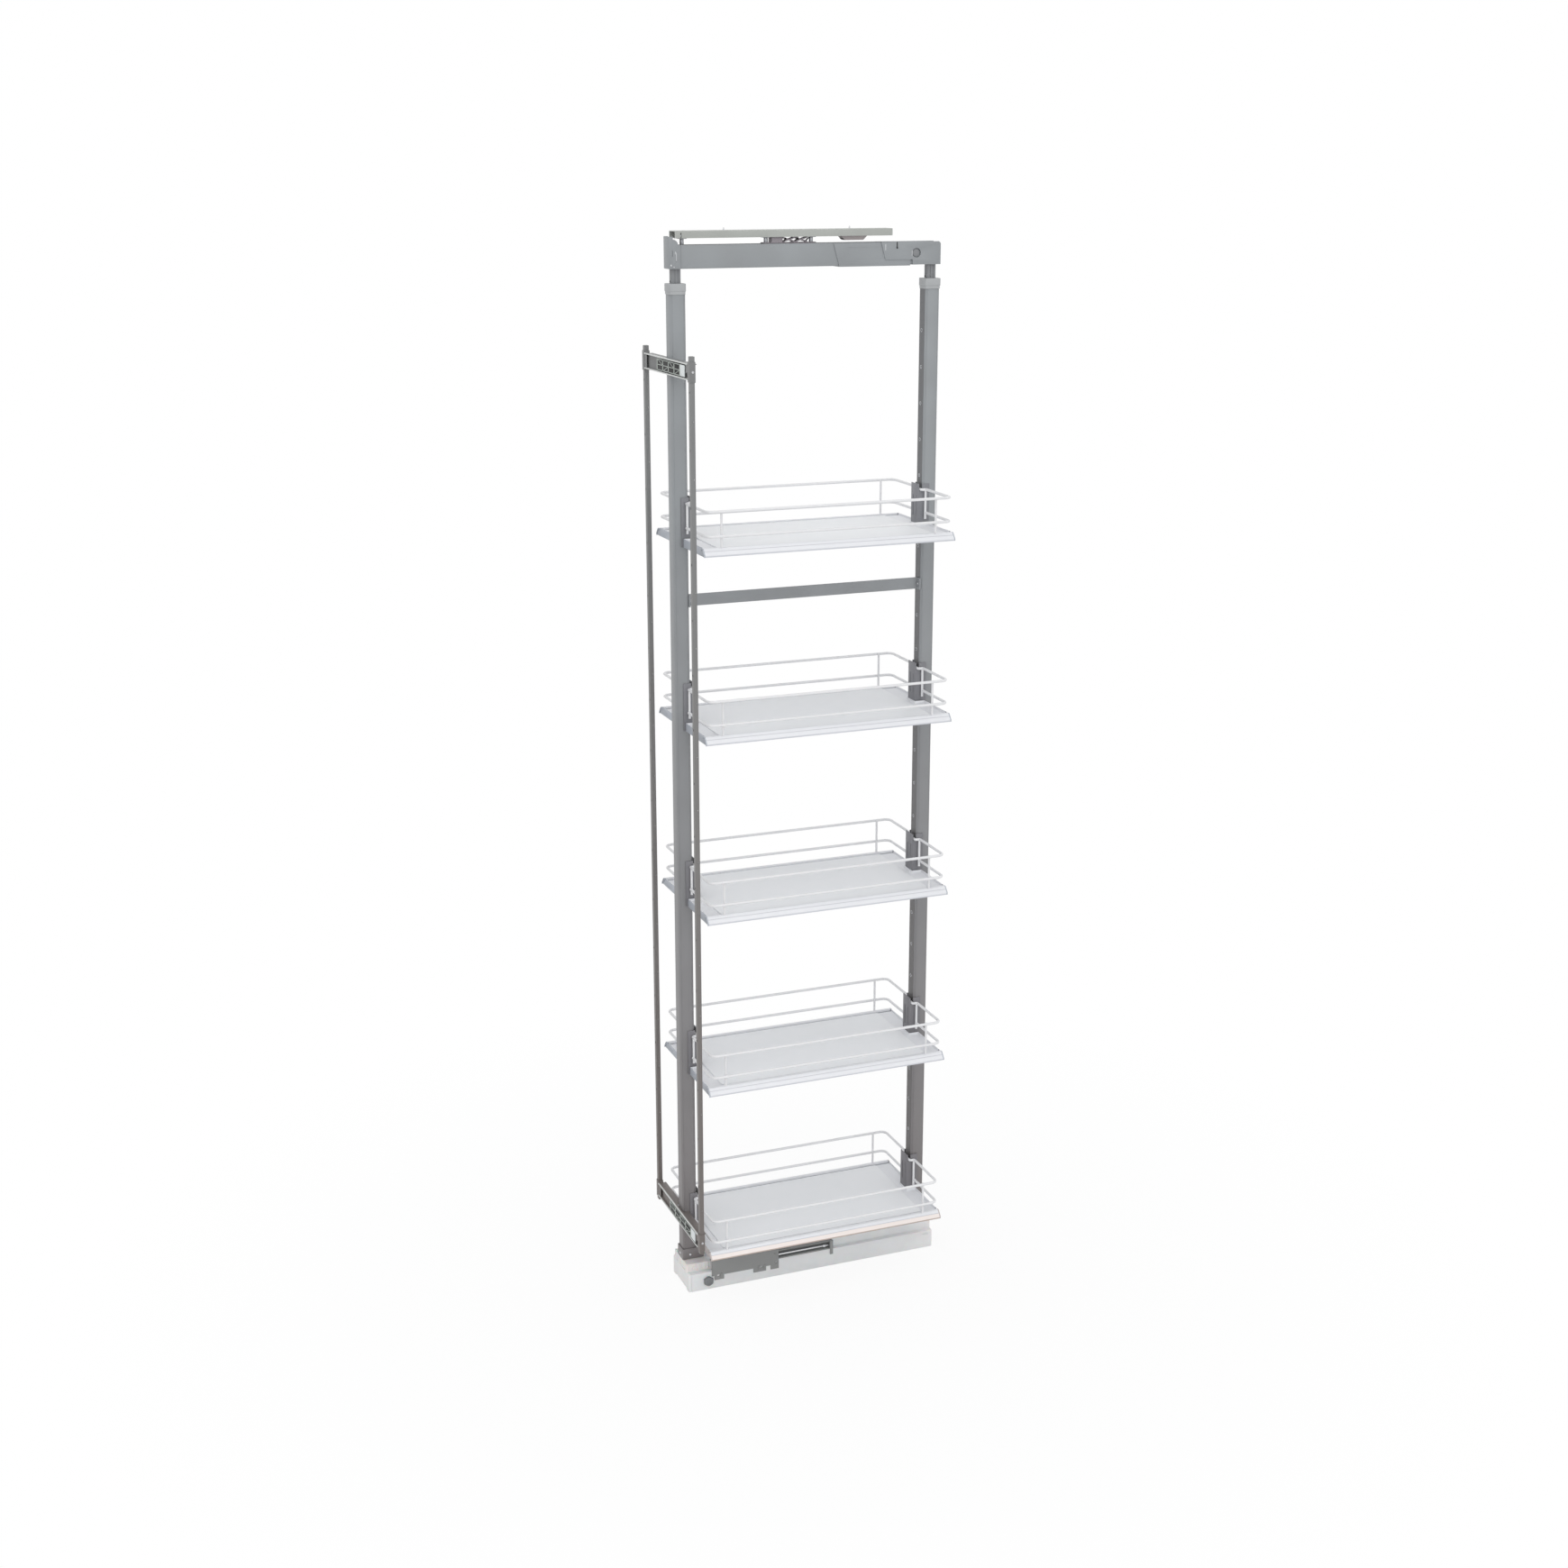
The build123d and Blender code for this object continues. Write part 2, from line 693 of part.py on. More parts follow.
# Sleeve that wraps the beam towards the back, with a slanted front edge
sleeve_half_width = beam_half_width + sheet
sleeve_bottom_z = beam_bottom_z - sleeve_drop
with BuildPart() as beam_sleeve:
    with BuildSketch(Plane.YZ.offset(-sleeve_half_width)):
        with BuildLine():
            Polyline(
                (sleeve_front_y, beam_top_z - sleeve_top_gap),
                (sleeve_back_y, beam_top_z - sleeve_top_gap),
                (sleeve_back_y, sleeve_bottom_z),
                (sleeve_front_y + sleeve_slant, sleeve_bottom_z),
                close=True,
            )
        make_face()
    extrude(amount=2 * sleeve_half_width)
    with BuildSketch(Plane.XZ.offset(beam_front_y)):
        with Locations((0, beam_bottom_z)):
            Rectangle(2 * beam_half_width, 2 * beam_height, align=(Align.CENTER, Align.MIN))
    extrude(amount=-(beam_front_y + beam_back_y), mode=Mode.SUBTRACT)
beam_sleeve.part.label = "beam_sleeve"
export_step(beam_sleeve.part, "parts/beam_sleeve.step")

# Front end bracket: a plate across the beam's end with wings along its sides
front_plate_y = beam_front_y + sheet
front_plate_top_z = beam_top_z + front_plate_rise
with BuildPart() as front_beam_bracket:
    with BuildSketch(Plane.YZ.offset(-sleeve_half_width)):
        with BuildLine():
            wing_back_y = -front_plate_y + front_plate_depth + front_plate_fillet
            fillet_top = (-front_plate_y + front_plate_depth - front_plate_fillet / 2,
                          beam_top_z + front_plate_fillet)
            Line((-front_plate_y, beam_bottom_z), (-front_plate_y, front_plate_top_z))
            Line((-front_plate_y, front_plate_top_z), (fillet_top[0], front_plate_top_z))
            Line((fillet_top[0], front_plate_top_z), fillet_top)
            RadiusArc(
                fillet_top, (fillet_top[0] + front_plate_fillet, beam_top_z),
                front_plate_fillet,
            )
            Polyline(
                (fillet_top[0] + front_plate_fillet, beam_top_z),
                (wing_back_y, beam_top_z),
                (wing_back_y, beam_bottom_z),
                (-front_plate_y, beam_bottom_z),
            )
        make_face()
    extrude(amount=2 * sleeve_half_width)
    with BuildSketch(Plane.XY.offset(beam_bottom_z - overrun)):
        with Locations((0, -beam_front_y)):
            Rectangle(
                2 * beam_half_width, front_plate_depth + 2 * front_plate_fillet + overrun,
                align=(Align.CENTER, Align.MIN),
            )
    extrude(amount=beam_height + front_plate_rise + 2 * overrun, mode=Mode.SUBTRACT)
    plate_corners = front_beam_bracket.edges().filter_by(Axis.X).sort_by(Axis.Y)[:4]
    chamfer(plate_corners.sort_by(Axis.Z)[0], sheet / 2)
front_beam_bracket.part.label = "front_beam_bracket"
export_step(front_beam_bracket.part, "parts/front_beam_bracket.step")

# Rear end bracket: side cheeks with a slanted front, a round hole and a slot
cheek_half_width = sleeve_half_width + sheet
back_bracket_edge_z = beam_bottom_z + back_bracket_edge_rise
back_bracket_hole_z = beam_bottom_z + back_bracket_hole_rise
back_plate_y = beam_back_y + sheet
with BuildPart() as rear_beam_bracket:
    with BuildSketch(Plane.YZ.offset(-cheek_half_width)):
        with BuildLine():
            Polyline(
                (back_bracket_front_y, beam_top_z),
                (back_plate_y, beam_top_z),
                (back_plate_y, beam_bottom_z),
                (back_bracket_foot_y, beam_bottom_z),
                (back_bracket_foot_y, back_bracket_edge_z),
                (back_bracket_front_y + back_bracket_slant, back_bracket_edge_z),
                close=True,
            )
        cheek = make_face()
        fillet(cheek.vertices().sort_by(Axis.X)[-2:].sort_by(Axis.Y)[-1], bracket_corner)
        with Locations((back_bracket_hole_y, back_bracket_hole_z)):
            RegularPolygon(back_bracket_hole_radius, wheel_sides, mode=Mode.SUBTRACT)
        with Locations((back_bracket_slot_y, beam_top_z)):
            Rectangle(
                back_bracket_slot_width, 2 * back_bracket_slot_depth, mode=Mode.SUBTRACT
            )
    extrude(amount=2 * cheek_half_width)
    with BuildSketch(Plane.XZ.offset(-sleeve_back_y - slide_gap)):
        with Locations((0, beam_bottom_z - overrun)):
            Rectangle(
                2 * beam_half_width, 2 * beam_height, align=(Align.CENTER, Align.MIN)
            )
    extrude(amount=-(beam_back_y - sleeve_back_y - slide_gap), mode=Mode.SUBTRACT)
    with BuildSketch(Plane.XZ.offset(-back_bracket_front_y + overrun)):
        with Locations((0, beam_bottom_z - overrun)):
            Rectangle(
                2 * sleeve_half_width, 2 * beam_height, align=(Align.CENTER, Align.MIN)
            )
    extrude(
        amount=-(sleeve_back_y + slide_gap - back_bracket_front_y + overrun),
        mode=Mode.SUBTRACT,
    )
rear_beam_bracket.part.label = "rear_beam_bracket"
export_step(rear_beam_bracket.part, "parts/rear_beam_bracket.step")

# Top rail: a slotted channel for the cabinet's ceiling
with BuildPart() as top_rail:
    with BuildSketch(Plane.XZ.offset(top_rail_front_y)):
        with Locations((0, top_rail_bottom_z)):
            rail_outline = Rectangle(
                2 * top_rail_half_width, top_rail_height, align=(Align.CENTER, Align.MIN)
            )
        chamfer(rail_outline.vertices().group_by(Axis.Y)[-1], sheet / 2)
        with Locations((0, top_rail_bottom_z + sheet)):
            Rectangle(
                2 * (top_rail_half_width - sheet), top_rail_height - 2 * sheet,
                align=(Align.CENTER, Align.MIN), mode=Mode.SUBTRACT,
            )
        with Locations((0, top_rail_bottom_z)):
            Rectangle(2 * top_rail_slot_half_width, 3 * sheet, mode=Mode.SUBTRACT)
    extrude(amount=-top_rail_length)
    with BuildSketch(Plane.XY.offset(top_rail_top_z - sheet)):
        with Locations((0, -rail_screw_y_front), (0, rail_screw_y_back)):
            RegularPolygon(rail_screw_radius + shaft_gap, rivet_sides, major_radius=False)
    extrude(amount=sheet, mode=Mode.SUBTRACT)
top_rail.part.label = "top_rail"
export_step(top_rail.part, "parts/top_rail.step")

# Screws that hold the top rail, their tips standing out of it
with BuildPart() as rail_screws:
    with BuildSketch(Plane.XY.offset(top_rail_top_z - sheet - rail_screw_radius)):
        with Locations((0, -rail_screw_y_front), (0, rail_screw_y_back)):
            RegularPolygon(rail_screw_head_radius, pin_sides)
    extrude(amount=rail_screw_radius)
    with BuildSketch(Plane.XY.offset(top_rail_top_z - sheet)):
        with Locations((0, -rail_screw_y_front), (0, rail_screw_y_back)):
            RegularPolygon(rail_screw_radius, rivet_sides)
    extrude(amount=sheet + rail_screw_tip)
rail_screws.part.label = "rail_screws"
export_step(rail_screws.part, "parts/rail_screws.step")

# Catch block under the back of the top rail, wider at its top
with BuildPart() as rail_catch:
    with BuildSketch(Plane.YZ.offset(-catch_half_width)):
        with BuildLine():
            Polyline(
                (catch_front_y, top_rail_bottom_z),
                (catch_back_y, top_rail_bottom_z),
                (catch_back_y - catch_slope, top_rail_bottom_z - catch_height),
                (catch_front_y + catch_slope, top_rail_bottom_z - catch_height),
                close=True,
            )
        make_face()
    extrude(amount=2 * catch_half_width)
    with BuildSketch(Plane.XY.offset(top_rail_bottom_z)):
        with Locations((0, (catch_front_y + catch_back_y) / 2)):
            Rectangle(
                2 * (top_rail_slot_half_width - slide_gap),
                catch_back_y - catch_front_y,
            )
    extrude(amount=sheet)
    with BuildSketch(Plane.XY.offset(top_rail_bottom_z + sheet)):
        with Locations((0, (catch_front_y + catch_back_y) / 2)):
            Rectangle(
                2 * (top_rail_half_width - sheet - slide_gap),
                catch_back_y - catch_front_y,
            )
    extrude(amount=sheet)
rail_catch.part.label = "rail_catch"
export_step(rail_catch.part, "parts/rail_catch.step")

# Slide bar: runs in the top rail and carries the guide rollers on T headed stems
slide_bar_bottom_z = top_rail_bottom_z + sheet + slide_gap
roller_top_z = beam_top_z - roller_top_gap
roller_bottom_z = roller_top_z - roller_height
head_bottom_z = slide_bar_bottom_z - stem_head_height
roller_places = ((0, -front_roller_y), (0, back_roller_y))
stem_places = (*roller_places, (0, -middle_stem_y))
guide_base_top_z = beam_top_z + slide_gap + guide_base_thickness
with BuildPart() as slide_bar:
    with BuildSketch(Plane.XY.offset(slide_bar_bottom_z)):
        with Locations((0, slide_bar_length / 2 - slide_bar_front_y)):
            Rectangle(
                2 * (top_rail_half_width - sheet - slide_bar_side_gap), slide_bar_length
            )
    extrude(amount=slide_bar_thickness)
    with BuildSketch(Plane.XY.offset(head_bottom_z)):
        with Locations(*stem_places):
            Rectangle(2 * stem_head_half_width, stem_head_length)
    extrude(amount=stem_head_height)
    with BuildSketch(Plane.XY.offset(beam_top_z + slide_gap)):
        with Locations(*stem_places):
            RegularPolygon(stem_radius, pin_sides)
    extrude(amount=head_bottom_z - beam_top_z - slide_gap)
    with BuildSketch(Plane.XY.offset(roller_top_z + slide_gap)):
        with Locations(*roller_places):
            RegularPolygon(stem_radius, pin_sides)
    extrude(amount=roller_top_gap)
    with BuildSketch(Plane.XY.offset(roller_bottom_z - slide_gap)):
        with Locations(*roller_places):
            RegularPolygon(roller_axle_radius, pin_sides)
    extrude(amount=roller_height + 2 * slide_gap)
    with BuildSketch(Plane.XY.offset(roller_bottom_z - slide_gap)):
        with Locations(*roller_places):
            RegularPolygon(stem_radius + sheet, pin_sides)
    extrude(amount=-sheet)
slide_bar.part.label = "slide_bar"
export_step(slide_bar.part, "parts/slide_bar.step")

# Guide rollers, turning on the slide bar's stems inside the beam
guide_rollers = {"front_guide_roller": -front_roller_y, "back_guide_roller": back_roller_y}
for name, roller_y in guide_rollers.items():
    with BuildPart() as guide_roller:
        with BuildSketch(Plane.XY.offset(roller_bottom_z)):
            with Locations((0, roller_y)):
                RegularPolygon(beam_half_width - sheet - slide_gap, wheel_sides)
                RegularPolygon(
                    roller_axle_radius + shaft_gap, bore_sides,
                    major_radius=False, mode=Mode.SUBTRACT,
                )
        extrude(amount=roller_height)
    guide_roller.part.label = name
    export_step(guide_roller.part, f"parts/{name}.step")

# Guide block: a strip held by two stems, with a pad and crossed struts up to the rail
guide_top_z = top_rail_bottom_z - slide_gap
guide_rise = guide_top_z - guide_base_top_z
strut_angle = degrees(atan2(guide_rise - strut_thickness, strut_run))
with BuildPart() as guide_block:
    with BuildSketch(Plane.XY.offset(beam_top_z + slide_gap)):
        strip_front_y = -middle_stem_y - guide_half_width
        strip_length = back_roller_y + middle_stem_y + 2 * guide_half_width
        with Locations((0, strip_front_y + strip_length / 2)):
            strip_outline = Rectangle(2 * guide_half_width, strip_length)
        chamfer(strip_outline.vertices(), guide_half_width / 2)
        with Locations(*stem_places):
            RegularPolygon(
                stem_radius + shaft_gap, pin_sides, major_radius=False, mode=Mode.SUBTRACT
            )
    extrude(amount=guide_base_thickness)
    with BuildSketch(Plane.XY.offset(guide_base_top_z)):
        with Locations((0, -guide_pad_front_y + guide_pad_length / 2)):
            Rectangle(2 * guide_half_width, guide_pad_length)
    extrude(amount=guide_rise)
    with BuildSketch(Plane.YZ.offset(-strut_half_width)):
        strut_front_y = guide_pad_length - guide_pad_front_y + strut_thickness
        for strut in range(strut_count):
            strut_y = strut_front_y + (strut + half) * strut_run
            with Locations((strut_y, guide_base_top_z + guide_rise / 2)):
                Rectangle(2 * strut_run, strut_thickness, rotation=strut_angle)
                Rectangle(2 * strut_run, strut_thickness, rotation=-strut_angle)
        with Locations((strut_front_y, guide_base_top_z)):
            Rectangle(
                strut_count * strut_run, guide_rise,
                align=(Align.MIN, Align.MIN), mode=Mode.INTERSECT,
            )
    extrude(amount=2 * strut_half_width)
guide_block.part.label = "guide_block"
export_step(guide_block.part, "parts/guide_block.step")

# Door bars: narrow channels open to the back, with the door's screw holes in front
door_bar_front_y = door_bar_middle_y + door_bar_depth / 2
door_hole_last_z = door_hole_first_z + door_hole_pitch * (door_hole_count - 1)
door_bar_x = door_bar_spacing / 2
for name, side in (("left_door_bar", -1), ("right_door_bar", 1)):
    with BuildPart() as door_bar:
        with BuildSketch(Plane.XY.offset(door_bar_bottom_z)):
            with Locations((side * door_bar_x, -door_bar_middle_y)):
                Rectangle(door_bar_width, door_bar_depth)
            with Locations((side * door_bar_x, -door_bar_front_y + sheet)):
                Rectangle(
                    door_bar_width - 2 * sheet, door_bar_depth,
                    align=(Align.CENTER, Align.MIN), mode=Mode.SUBTRACT,
                )
        extrude(amount=door_bar_top_z - door_bar_bottom_z)
        with BuildSketch(Plane.XZ.offset(door_bar_front_y + overrun)):
            with Locations((side * door_bar_x, (door_hole_first_z + door_hole_last_z) / 2)):
                with GridLocations(0, door_hole_pitch, 1, door_hole_count - 2):
                    RegularPolygon(door_hole_radius, door_hole_sides)
            with Locations(
                (side * door_bar_x, door_hole_first_z), (side * door_bar_x, door_hole_last_z)
            ):
                Circle(door_hole_radius)
        extrude(amount=-(sheet + overrun + slide_gap), mode=Mode.SUBTRACT)
    door_bar.part.label = name
    export_step(door_bar.part, f"parts/{name}.step")

# Cross brackets: a lipped channel between the bars with a clip round each bar
web_back_y = post_outer_y + door_mount_gap
web_front_y = web_back_y + bracket_sheet
bracket_reach = door_bar_x - door_bar_width / 2
for name, bracket_z in (
    ("upper_cross_bracket", upper_bracket_z), ("lower_cross_bracket", lower_bracket_z)
):
    bracket_middle_z = bracket_z + bracket_height / 2
    with BuildPart() as cross_bracket:
        with BuildSketch(Plane.YZ.offset(-bracket_reach)):
            with BuildLine():
                Polyline(
                    (-web_back_y + bracket_flange, bracket_z + bracket_height),
                    (-web_front_y - bracket_lip, bracket_z + bracket_height),
                )
                offset(amount=bracket_sheet, side=Side.LEFT, kind=Kind.INTERSECTION)
            make_face()
            with Locations((-web_back_y, bracket_z)):
                Rectangle(bracket_sheet, bracket_height, align=(Align.MAX, Align.MIN))
            with Locations((-web_back_y, bracket_z)):
                Rectangle(
                    bracket_sheet + bracket_lip, bracket_sheet, align=(Align.MAX, Align.MIN)
                )
        extrude(amount=2 * bracket_reach)
        with BuildSketch(Plane.XY.offset(bracket_z + bracket_height - 2 * bracket_sheet)):
            with Locations((0, -web_back_y)):
                Rectangle(
                    2 * (post_half_width + bracket_post_gap), bracket_flange + overrun,
                    align=(Align.CENTER, Align.MIN),
                )
        extrude(amount=3 * bracket_sheet, mode=Mode.SUBTRACT)
        with BuildSketch(Plane.XY.offset(bracket_middle_z - clip_height / 2)):
            with Locations(
                (-door_bar_x, -door_bar_middle_y), (door_bar_x, -door_bar_middle_y)
            ):
                Rectangle(door_bar_width + 2 * clip_sheet, door_bar_depth + 2 * clip_sheet)
        extrude(amount=clip_height)
        with BuildSketch(Plane.XY.offset(bracket_middle_z - clip_height)):
            with Locations(
                (-door_bar_x, -door_bar_middle_y), (door_bar_x, -door_bar_middle_y)
            ):
                Rectangle(door_bar_width, door_bar_depth)
        extrude(amount=2 * clip_height, mode=Mode.SUBTRACT)
        with BuildSketch(Plane.XZ.offset(web_front_y + overrun)):
            with Locations((-adjuster_screw_x, bracket_middle_z), (adjuster_screw_x, bracket_middle_z)):
                Rectangle(bracket_slot_length, 2 * bracket_slot_radius)
        extrude(amount=-(bracket_sheet + overrun + door_mount_gap), mode=Mode.SUBTRACT)
    cross_bracket.part.label = name
    export_step(cross_bracket.part, f"parts/{name}.step")

# Adjusters: ribbed plates in the brackets' channels, held to the post through the slots
adjuster_back_y = web_front_y + slide_gap
adjuster_length = adjuster_right_x - adjuster_left_x
with BuildPart() as door_adjusters:
    for bracket_z in (upper_bracket_z, lower_bracket_z):
        bracket_middle_z = bracket_z + bracket_height / 2
        with BuildSketch(Plane.XZ.offset(adjuster_back_y)):
            with Locations((adjuster_left_x, bracket_middle_z)):
                Rectangle(adjuster_length, adjuster_height, align=(Align.MIN, Align.CENTER))
        extrude(amount=adjuster_depth)
        window_length = adjuster_length - adjuster_insert_width - 2 * adjuster_frame
        window_height = adjuster_height - 2 * adjuster_frame
        window_left_x = adjuster_left_x + adjuster_frame
        rib_run = window_length / adjuster_rib_count
        rib_angle = degrees(atan2(window_height, rib_run))
        rib_length = hypot(window_height, rib_run) + adjuster_rib_width
        with BuildSketch(Plane.XZ.offset(adjuster_back_y + adjuster_frame)):
            with Locations((window_left_x, bracket_middle_z)):
                Rectangle(window_length, window_height, align=(Align.MIN, Align.CENTER))
            for rib in range(adjuster_rib_count):
                rib_x = window_left_x + (rib + half) * rib_run
                with Locations((rib_x, bracket_middle_z)):
                    Rectangle(
                        rib_length, adjuster_rib_width,
                        rotation=rib_angle * (-1) ** rib, mode=Mode.SUBTRACT,
                    )
        extrude(amount=adjuster_depth, mode=Mode.SUBTRACT)
        with BuildSketch(Plane.XZ.offset(adjuster_back_y)):
            with Locations((-adjuster_screw_x, bracket_middle_z), (adjuster_screw_x, bracket_middle_z)):
                RegularPolygon(adjuster_screw_radius, rivet_sides)
        extrude(amount=-(adjuster_back_y - post_outer_y))
door_adjusters.part.label = "door_adjusters"
export_step(door_adjusters.part, "parts/door_adjusters.step")

# Side plate: a notched sheet on the housing, continued by the damper's channel
side_plate_outer_x = housing_half_width + side_plate_sheet
side_plate_length = side_plate_front_y - side_plate_back_y
with BuildPart() as side_plate:
    with BuildSketch(Plane.YZ.offset(housing_half_width)):
        with Locations((-side_plate_front_y, side_plate_edge_z)):
            Rectangle(
                side_plate_length, side_plate_top_z - side_plate_edge_z,
                align=(Align.MIN, Align.MIN),
            )
        for front_share, back_share in side_plate_tab_shares:
            tab_front_y = front_share * side_plate_length - side_plate_front_y
            with Locations((tab_front_y, side_plate_bottom_z)):
                Rectangle(
                    (back_share - front_share) * side_plate_length,
                    side_plate_top_z - side_plate_bottom_z,
                    align=(Align.MIN, Align.MIN),
                )
    extrude(amount=side_plate_sheet)
    with BuildSketch(Plane.XZ.offset(side_plate_front_y)):
        with Locations((side_plate_outer_x, side_plate_top_z)):
            Rectangle(
                side_plate_outer_x - housing_step_half_width, side_plate_sheet,
                align=(Align.MAX, Align.MAX),
            )
    extrude(amount=-side_plate_length)
    with BuildSketch(Plane.XZ.offset(side_plate_back_y)):
        with Locations((housing_step_half_width, damper_bottom_z)):
            Rectangle(
                side_plate_outer_x - housing_step_half_width, side_plate_top_z - damper_bottom_z,
                align=(Align.MIN, Align.MIN),
            )
    extrude(amount=side_plate_sheet)
    with BuildSketch(Plane.XZ.offset(side_plate_back_y)):
        with Locations((housing_step_half_width, damper_bottom_z)):
            Rectangle(
                damper_channel_depth, damper_top_z - damper_bottom_z,
                align=(Align.MIN, Align.MIN),
            )
        with Locations((housing_step_half_width + side_plate_sheet, damper_bottom_z + side_plate_sheet)):
            Rectangle(
                damper_channel_depth, damper_top_z - damper_bottom_z - 2 * side_plate_sheet,
                align=(Align.MIN, Align.MIN), mode=Mode.SUBTRACT,
            )
    extrude(amount=-(side_plate_back_y + damper_back_y))
    with BuildSketch(Plane.XZ.offset(-damper_back_y)):
        with Locations((housing_step_half_width, damper_bottom_z)):
            Rectangle(
                side_plate_outer_x - housing_step_half_width, damper_top_z - damper_bottom_z,
                align=(Align.MIN, Align.MIN),
            )
        with Locations((housing_half_width, damper_end_bottom_z)):
            Rectangle(
                side_plate_sheet, damper_top_z - damper_end_bottom_z,
                align=(Align.MIN, Align.MIN),
            )
    extrude(amount=damper_end_length)
side_plate.part.label = "side_plate"
export_step(side_plate.part, "parts/side_plate.step")

# Damper rod between the channel's two end walls
with BuildPart() as damper_rod:
    with BuildSketch(Plane.XZ.offset(side_plate_back_y)):
        with Locations((damper_rod_x, damper_rod_z)):
            RegularPolygon(damper_rod_radius, pin_sides)
    extrude(amount=-(side_plate_back_y + damper_back_y - damper_end_length))
damper_rod.part.label = "damper_rod"
export_step(damper_rod.part, "parts/damper_rod.step")

# Adjusting bolt through the housing's side
with BuildPart() as adjusting_bolt:
    with BuildSketch(Plane.YZ.offset(housing_half_width + slide_gap)):
        with Locations((-hex_bolt_y, hex_bolt_z)):
            RegularPolygon(hex_across_flats / 2, 6, major_radius=False, rotation=quarter_turn)
    extrude(amount=hex_head_height)
    head_rim = adjusting_bolt.edges().group_by(Axis.X)[-1]
    chamfer(head_rim, hex_head_height / 6)
    with BuildSketch(Plane.YZ.offset(housing_half_width + slide_gap)):
        with Locations((-hex_bolt_y, hex_bolt_z)):
            RegularPolygon(hex_shank_radius, pin_sides)
    extrude(amount=-(slide_gap + housing_wall + hex_shank_inside))
adjusting_bolt.part.label = "adjusting_bolt"
export_step(adjusting_bolt.part, "parts/adjusting_bolt.step")

# Shelf tray: a folded sheet with flared skirts, end flanges and a notch for each post
shelf_half_length = shelf_length / 2
shelf_half_width = shelf_width / 2
tray_rim_outer = shelf_half_width - tray_skirt_flare
tray_rim_inner_half = tray_rim_outer - tray_rim_width
tray_notch_y = post_inner_y - tray_notch_gap
flange_y = shelf_half_length - tray_end_inset
with BuildPart() as tray:
    with BuildSketch(Plane.XZ.offset(shelf_half_length)):
        with BuildLine():
            Polyline(
                (-shelf_half_width, 0),
                (-shelf_half_width, tray_skirt_edge),
                (-tray_rim_outer, tray_rim_z),
                (-tray_rim_inner_half, tray_rim_z),
                (-tray_rim_inner_half, tray_floor_z),
                (tray_rim_inner_half, tray_floor_z),
                (tray_rim_inner_half, tray_rim_z),
                (tray_rim_outer, tray_rim_z),
                (shelf_half_width, tray_skirt_edge),
                (shelf_half_width, 0),
            )
            offset(amount=tray_sheet, side=Side.RIGHT, kind=Kind.INTERSECTION)
        make_face()
    extrude(amount=-shelf_length)
    with BuildSketch(Plane.XZ.offset(flange_y)):
        with BuildLine():
            Polyline(
                (-shelf_half_width, 0),
                (-shelf_half_width, tray_skirt_edge),
                (-tray_rim_outer, tray_rim_z),
                (tray_rim_outer, tray_rim_z),
                (shelf_half_width, tray_skirt_edge),
                (shelf_half_width, 0),
                close=True,
            )
        make_face()
        with Locations((0, tray_floor_z)):
            Rectangle(
                2 * tray_rim_inner_half, tray_end_lip_z - tray_floor_z,
                align=(Align.CENTER, Align.MIN),
            )
    extrude(amount=-tray_sheet)
    mirror(about=Plane.XZ)
    with BuildSketch(Plane.XY):
        with Locations((0, -shelf_half_length), (0, shelf_half_length)):
            Rectangle(2 * tray_rim_inner_half, 2 * tray_end_inset)
    extrude(amount=tray_end_lip_z, mode=Mode.SUBTRACT)
    with BuildSketch(Plane.XY):
        notch_wall_length = flange_y - tray_notch_y + tray_sheet
        for end in ends:
            with Locations((0, end * (flange_y - notch_wall_length / 2))):
                Rectangle(2 * (tray_notch_half_width + tray_sheet), notch_wall_length)
    extrude(amount=tray_end_lip_z)
    with BuildSketch(Plane.XY.offset(-overrun)):
        for end in ends:
            with Locations((0, end * (tray_notch_y + shelf_half_length) / 2)):
                Rectangle(2 * tray_notch_half_width, shelf_half_length - tray_notch_y)
    extrude(amount=tray_end_lip_z + 2 * overrun, mode=Mode.SUBTRACT)

# Floor panel that lies on the tray
panel_half_width = tray_rim_inner_half - panel_side_margin
panel_half_length = tray_notch_y - panel_end_margin
with BuildPart() as panel:
    with BuildSketch(Plane.XY.offset(tray_floor_z)):
        panel_outline = Rectangle(2 * panel_half_width, 2 * panel_half_length)
        chamfer(panel_outline.vertices(), panel_corner)
    extrude(amount=panel_thickness)

# Wire gallery: a top wire that jogs in at each post, a low wire, uprights and stubs
gallery_half_width = shelf_half_width - gallery_side_inset
gallery_half_length = shelf_half_length - gallery_end_inset
upright_y = shelf_half_length - upright_end_inset
jog_y = post_inner_y - jog_post_gap
wire_bend_x = gallery_half_width - gallery_corner_radius
wire_bend_y = gallery_half_length - gallery_corner_radius
bend_turns = [
    radians(quarter_turn * step / wire_bend_chords) for step in range(wire_bend_chords + 1)
]
front_bend = [
    (
        wire_bend_x + gallery_corner_radius * sin(turn),
        -wire_bend_y - gallery_corner_radius * cos(turn),
    )
    for turn in bend_turns
]
low_front = [(jog_outer_x, -gallery_half_length), *front_bend]
top_front = [(0, -jog_y), (jog_inner_x, -jog_y), *low_front]
